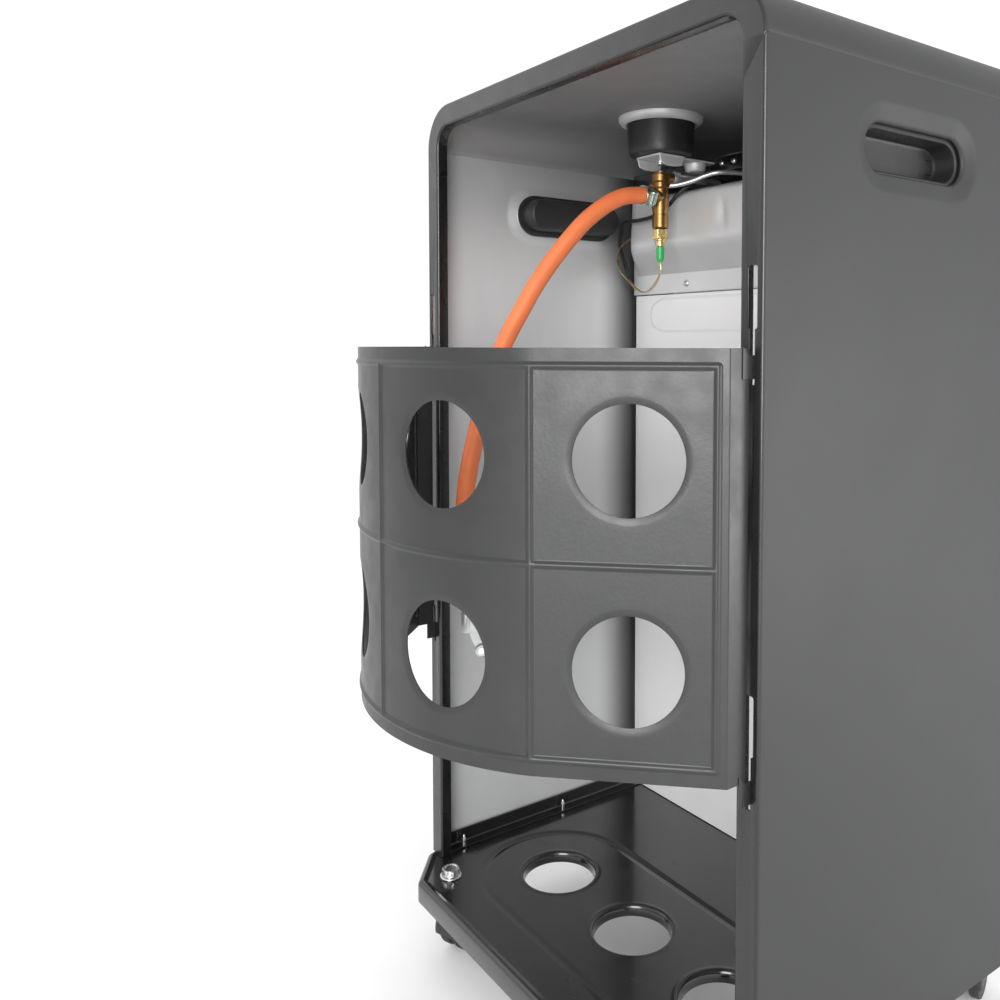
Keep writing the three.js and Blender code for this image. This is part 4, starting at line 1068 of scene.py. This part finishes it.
# %% Castors
WHEEL = 22.0
TRAIL = 18.0
CASTOR_YAW = np.radians(-70)
CASTORS = {"rear_left": (-160, 7), "rear_right": (160, 7), "front_left": (-160, -305), "front_right": (160, -305)}
HOOD = [(3.6, -14.9), (20.5, -14.9), (23.6, -14.2), (25.2, -12.4), (25.5, -9.5), (25.5, 9.5), (25.2, 12.4), (23.6, 14.2),
        (20.5, 14.9), (3.6, 14.9)]
NECK = [(4.6, 46), (12.4, 46), (12.4, 52), (9.8, 56), (9.8, 62), (12.4, 64), (13, 65.5), (13, 69.6), (12.4, 70.6), (4.6, 70.6),
        (4.6, 46)]
TYRE = [(3, 1.6), (12, 1.6), (13.4, 0.3), (19.4, 0.1), (21.3, 0.8), (22, 2.3), (22, 4.1), (21.5, 4.4), (21.5, 5.2),
        (22, 5.5), (22, 7.3), (21.3, 8.8), (19.4, 9.5), (13.4, 9.3), (12, 8), (3, 8), (3, 1.6)]
wheel_grey = finish("wheel_rubber", (0.028, 0.028, 0.03), 0.6, grain=(1.0, 0.03), cloud=(8, 0.3))


def castor(tag, x, y):
    def put(parts):
        return moved(parts, (x, y, 0), CASTOR_YAW)
    hub = (TRAIL, 0, WHEEL)
    r, y_local = np.array(HOOD).T
    a = np.radians(np.linspace(-6.5, 186.5, 60))[None, :]
    shell = np.stack([TRAIL + r[:, None] * np.cos(a), y_local[:, None] + 0 * a, WHEEL + r[:, None] * np.sin(a)], -1)
    piece(f"hood_{tag}", put([patch(shell)]), moulded_black, body=f"castor_{tag}",
          instead=[f"castor_{tag}_hood"], sheet=1.7)
    half_disc = np.vstack([arc((TRAIL, WHEEL), 23.4, -3, 183, 40)])
    web = prism(half_disc, flat((0, 0, 0), (1, 0, 0), (0, 0, 1), (0, 1, 0)), -1.8, 1.8)
    piece(f"neck_{tag}", put([turned(NECK, (0, 0, 0), count=48), *web]), moulded_black,
          body=f"castor_{tag}", bevel=0.5)
    tyres = [turned(np.array(TYRE) + [0, low], hub, (0, 1, 0), 72) for low in (-12.4, 2.8)]
    axle = turned([(0, -12.2), (2.6, -12.2), (2.9, -11.8), (2.9, 11.8), (2.6, 12.2), (0, 12.2)], hub, (0, 1, 0), 24)
    piece(f"tyres_{tag}", put(tyres), wheel_grey, body=f"wheels_{tag}", instead=[f"castor_{tag}_wheels"])
    piece(f"axle_{tag}", put([axle]), bright_zinc, body=f"wheels_{tag}")
    bolt_place = flat((0, 0, 0), (1, 0, 0), (0, 1, 0))
    washer = [(4, 72.8), (9.5, 72.8), (9.8, 73.2), (9.4, 74), (7, 74.6), (4, 74.6)]
    stem = [(0, 50.2), (3.7, 50.2), (3.9, 50.6), (3.9, 74.2), (0, 74.2)]
    crown = turned([(0, 74.6), (8.2, 74.6), (8.2, 75.2), (7.6, 76.4), (7.2, 80.2), (5.6, 80.3), (5.0, 79.6), (0, 79.6)],
                   (0, 0, 0), count=32)
    head = prism(hexagon(8.2), bolt_place, 75, 79.2)
    piece(f"bolt_{tag}", put([turned(washer, (0, 0, 0), count=48), crown, *head, turned(stem, (0, 0, 0), count=24)]),
          bright_zinc, instead=[f"castor_{tag}_bolt"], bevel=0.35, sharp=32)
    if tag.startswith("rear"):
        plate = prism(ring(5.8, 7.9, 2.2, 48) + [TRAIL + 32.1, 0], bolt_place, 27.1, 29.4)
        ribs = [r for k in (-3.2, 0, 3.2) for r in prism(ring(0.6, 6.2, 0.5, 24) + [TRAIL + 32.6 + k, 0], bolt_place, 29.2, 30.1)]
        pin = turned([(0, -7.9), (2.3, -7.9), (2.3, 7.9), (0, 7.9)], (TRAIL + 28.4, 0, 28.6), (0, 1, 0), 24)
        piece(f"pedal_{tag}", put([*plate, *ribs, pin]), moulded_black, body=f"brake_{tag}",
              instead=[f"castor_{tag}_brake"], bevel=0.3)


for tag, (x, y) in CASTORS.items():
    castor(tag, x, y)
print("castors", len(CASTORS))

# %% [markdown]
# ## The front
# The face away from the bottle carries the burner: a fascia with one wide opening whose edge is
# drawn in, and below it a panel with five louvres pressed inwards.

# %% Front fascia and lower panel
front_place = flat((0, FRONT, 0), (1, 0, 0), (0, 0, 1), (0, 1, 0))
FASCIA_Z = 490
SHEET_IN = 208.2


def front_panels():
    r = SHOULDER - 1.8
    top_right = arc((HALF - SHOULDER, TOP - SHOULDER), r, 0, 90, 16)
    outline = np.vstack([[(-SHEET_IN, FASCIA_Z), (SHEET_IN, FASCIA_Z)], top_right, (top_right * [-1, 1])[::-1]])
    lip = [(168 + d, 101 + d, 10 + d, h) for d, h in [(2.2, 0.05), (1.2, 0.15), (0.5, 0.5), (0.1, 1.1), (0, 2.2), (0, 7)]]
    lip = rings(lip, front_place, (0, 621))
    border = front_place(outline[:, 0], outline[:, 1], 0.05)
    piece("burner_fascia", [fill([border, lip[0]], (0, -1, 0)), patch(lip, wrap=True)], [paint, paint],
          instead=["front_fascia"], sheet=1.2)
    louvres = []
    for row in range(5):
        z = 110 + 16 * row
        steps = [(4.2, 0.05), (3.2, 0.3), (2.3, 1.0), (1.6, 2.2), (1.2, 4.0), (0.7, 6.2), (0, 7.2)]
        louvres.append(rings([(180 + d - 4, 3 + d * 0.9, 3 + d * 0.9, h) for d, h in steps], front_place, (0, z)))
    low = front_place(*np.array([[-SHEET_IN, 74.2], [SHEET_IN, 74.2], [SHEET_IN, 489.6], [-SHEET_IN, 489.6]]).T, 0.05)
    lower = [fill([low, *[v[0] for v in louvres]], (0, -1, 0)), *[patch(v, wrap=True) for v in louvres]]
    piece("louvre_panel", lower, [paint, paint], instead=["front_lower_panel"], sheet=1.2)


front_panels()

# %% [markdown]
# ## The burner
# A bright reflector funnels the heat out. Behind it three pierced ceramic plaques glow in use; a venturi
# tube feeds them, and a wire guard keeps fingers out.

# %% Reflector, box and plaques
def reflector():
    t = np.linspace(0, 1, 14)
    curve = t ** 1.15
    specs = [(166.8 - 19 * k, 99.8 - 30 * k, 7 - 2 * k, 1.9 + 59.9 * s, 0, 621 + 5 * k) for s, k in zip(t, curve)]
    rim = [(164.6, 97.6, 5, 1.9, 0, 621), (166.0, 99.0, 6, 1.6, 0, 621)]
    piece("reflector_funnel", [patch(rings(rim + specs, front_place), wrap=True)], chrome,
          instead=["burner_reflector"], sheet=0.9)
    box = [(148, 70, 4, 62.4), (148, 70, 4, 97), (147.6, 69.6, 4, 98.8), (146, 68, 3.5, 99.8)]
    box = rings(box, front_place, (0, 626))
    piece("burner_case", [patch(box, wrap=True), fill([box[-1]], (0, 1, 0))], galvanised,
          instead=["burner_box"], sheet=1.2)


def plaque(index):
    """Tile whose face dips at every node of a grid: depth (cos px cos pz) to a high power, pitch 4.7 mm."""
    x0 = 97.0 * (index - 2)
    x, z = np.meshgrid(np.linspace(-46.9, 46.9, 161), np.linspace(-64.9, 64.9, 217), indexing="ij")
    edge = np.clip(np.minimum(46.9 - np.abs(x), 64.9 - np.abs(z)) / 5, 0, 1)
    dips = np.clip(np.cos(np.pi * x / 4.7) * np.cos(np.pi * z / 4.7), -1, 1) ** 4
    y = -286.3 + 2.2 * dips * np.clip(edge * 3 - 1.4, 0, 1) + 0.7 * (1 - np.clip(edge * 5, 0, 1)) ** 2
    face = np.stack([x + x0, y, z + 626], -1)
    return piece(f"ceramic_tile_{index}", [patch(face)], ceramic, instead=[f"ceramic_plaque_{index}"], sheet=9)


ceramic = finish("fired_ceramic", (0.78, 0.72, 0.64), 0.85, grain=(1.2, 0.04), cloud=(14, 0.15))
reflector()
for index in (1, 2, 3):
    plaque(index)

# %% Wires, pilot, electrode, venturi and igniter
def wires():
    """Nine bars bent inwards at both ends, and four uprights behind them, all 3.2 mm wire."""
    parts = []
    for z in 527 + 23.5 * np.arange(9):
        bar = [(-171.8, -350, z), (-171.8, -353.4, z), (-170, -355, z), (-165, -355, z), (0, -355, z), (165, -355, z),
               (170, -355, z), (171.8, -353.4, z), (171.8, -350, z)]
        parts += sweep(circle(1.55, 12), smooth(bar, 4), (0, 0, 1))
    for x in (-171, -57, 57, 171):
        parts += sweep(circle(1.55, 12), np.array([(x, -352.8, 516.2), (x, -352.8, 621), (x, -352.8, 725.8)]), (1, 0, 0))
    return piece("guard_wires", parts, chrome, instead=["wire_guard"])


wires()
pilot_place = flat((-21, -328, 0), (1, 0, 0), (0, 1, 0))
pilot = prism(ring(14.8, 9.8, 2, 48), pilot_place, 541.2, 542.8)
pilot.append(turned([(0, 542), (4.9, 542), (4.9, 553), (4.4, 554), (4.4, 555.8), (3.2, 555.8), (3.2, 550), (0, 550)],
                    (-14, -329, 0), count=32))
piece("pilot_head", pilot, plain_zinc, instead=["pilot_burner"], bevel=0.3)
insulator = [(0, 542.8), (3.0, 542.8), (3.0, 549), (2.5, 549.6), (3.0, 550.4), (2.5, 551.2), (2.6, 565), (2.1, 565.2),
             (0, 565.2)]
piece("electrode_insulator", [turned(insulator, (-27, -329, 0), count=32)], ceramic, instead=["spark_electrode"])
tip = sweep(circle(0.9, 10), smooth([(-27, -329, 564), (-27, -329, 569), (-25.5, -329, 571), (-23, -329, 571.6)], 5), (0, 1, 0))
piece("electrode_tip", tip, bright_zinc)
mouth = [(11.2, 0), (12.4, 0), (12.4, 3), (11.6, 8), (10.8, 24), (10.8, 110), (12.4, 150), (12.4, 180), (11.2, 180),
         (11.2, 150), (9.6, 110), (9.6, 24), (10.4, 8), (11.2, 3), (11.2, 0)]
piece("venturi_tube", [turned(mouth, (-120, -268, 543), (1, 0, 0), 48)], galvanised,
      instead=["burner_venturi"])
BUTTON = [(0, 717.6), (6.4, 717.6), (7.9, 719), (7.9, 757.6), (10.8, 758.2), (10.8, 760.6), (10.2, 761.4), (7.4, 761.4),
          (7.2, 760.4), (7, 760.4), (6.8, 763.4), (6.2, 764), (0, 764.1)]
piece("igniter_button", [turned(BUTTON, (60, -285, 0), count=48)], moulded_black, instead=["piezo_igniter"])

# %% [markdown]
# ## Studio
# A pale floor, a white surround and a few large soft lights. The lights are big because painted sheet shows
# their edges: a small one would leave a hard streak down the side.

# %% Floor, world and lights
ground = bpy.data.meshes.new("ground")
ground.from_pydata([(-6, -6, 0), (6, -6, 0), (6, 6, 0), (-6, 6, 0)], [], [(0, 1, 2, 3)])
floor = bpy.data.objects.new("ground", ground)
bpy.context.scene.collection.objects.link(floor)
ground.materials.append(finish("studio_floor", (0.97, 0.97, 0.97), 0.8, cloud=(400, 0.005), grain=(2, 0.01)))

world = bpy.data.worlds.new("studio")
bpy.context.scene.world = world
world.use_nodes = True
world.node_tree.nodes["Background"].inputs["Color"].default_value = (1, 1, 1, 1)
world.node_tree.nodes["Background"].inputs["Strength"].default_value = 1.05
bpy.context.scene.view_settings.view_transform = "Standard"


def soft_light(name, at, towards, size, power):
    """A square area light at a point, in frame metres, that faces another."""
    light = bpy.data.lights.new(name, "AREA")
    light.shape = "SQUARE"
    light.size = size
    light.energy = power
    lamp = bpy.data.objects.new(name, light)
    bpy.context.scene.collection.objects.link(lamp)
    aim = (Vector(towards) - Vector(at)).to_track_quat("-Z", "Y").to_matrix().to_4x4()
    lamp.matrix_world = Matrix.Translation(at) @ aim


soft_light("bay_light", (-1.5, 1.7, 0.8), (0.0, 0.0, 0.4), 1.1, 40)
soft_light("side_light", (-1.5, -0.9, 0.35), (-0.2, -0.05, 0.3), 0.8, 14)
soft_light("far_light", (1.8, 1.6, 1.6), (0, 0, 0.4), 1.5, 4)
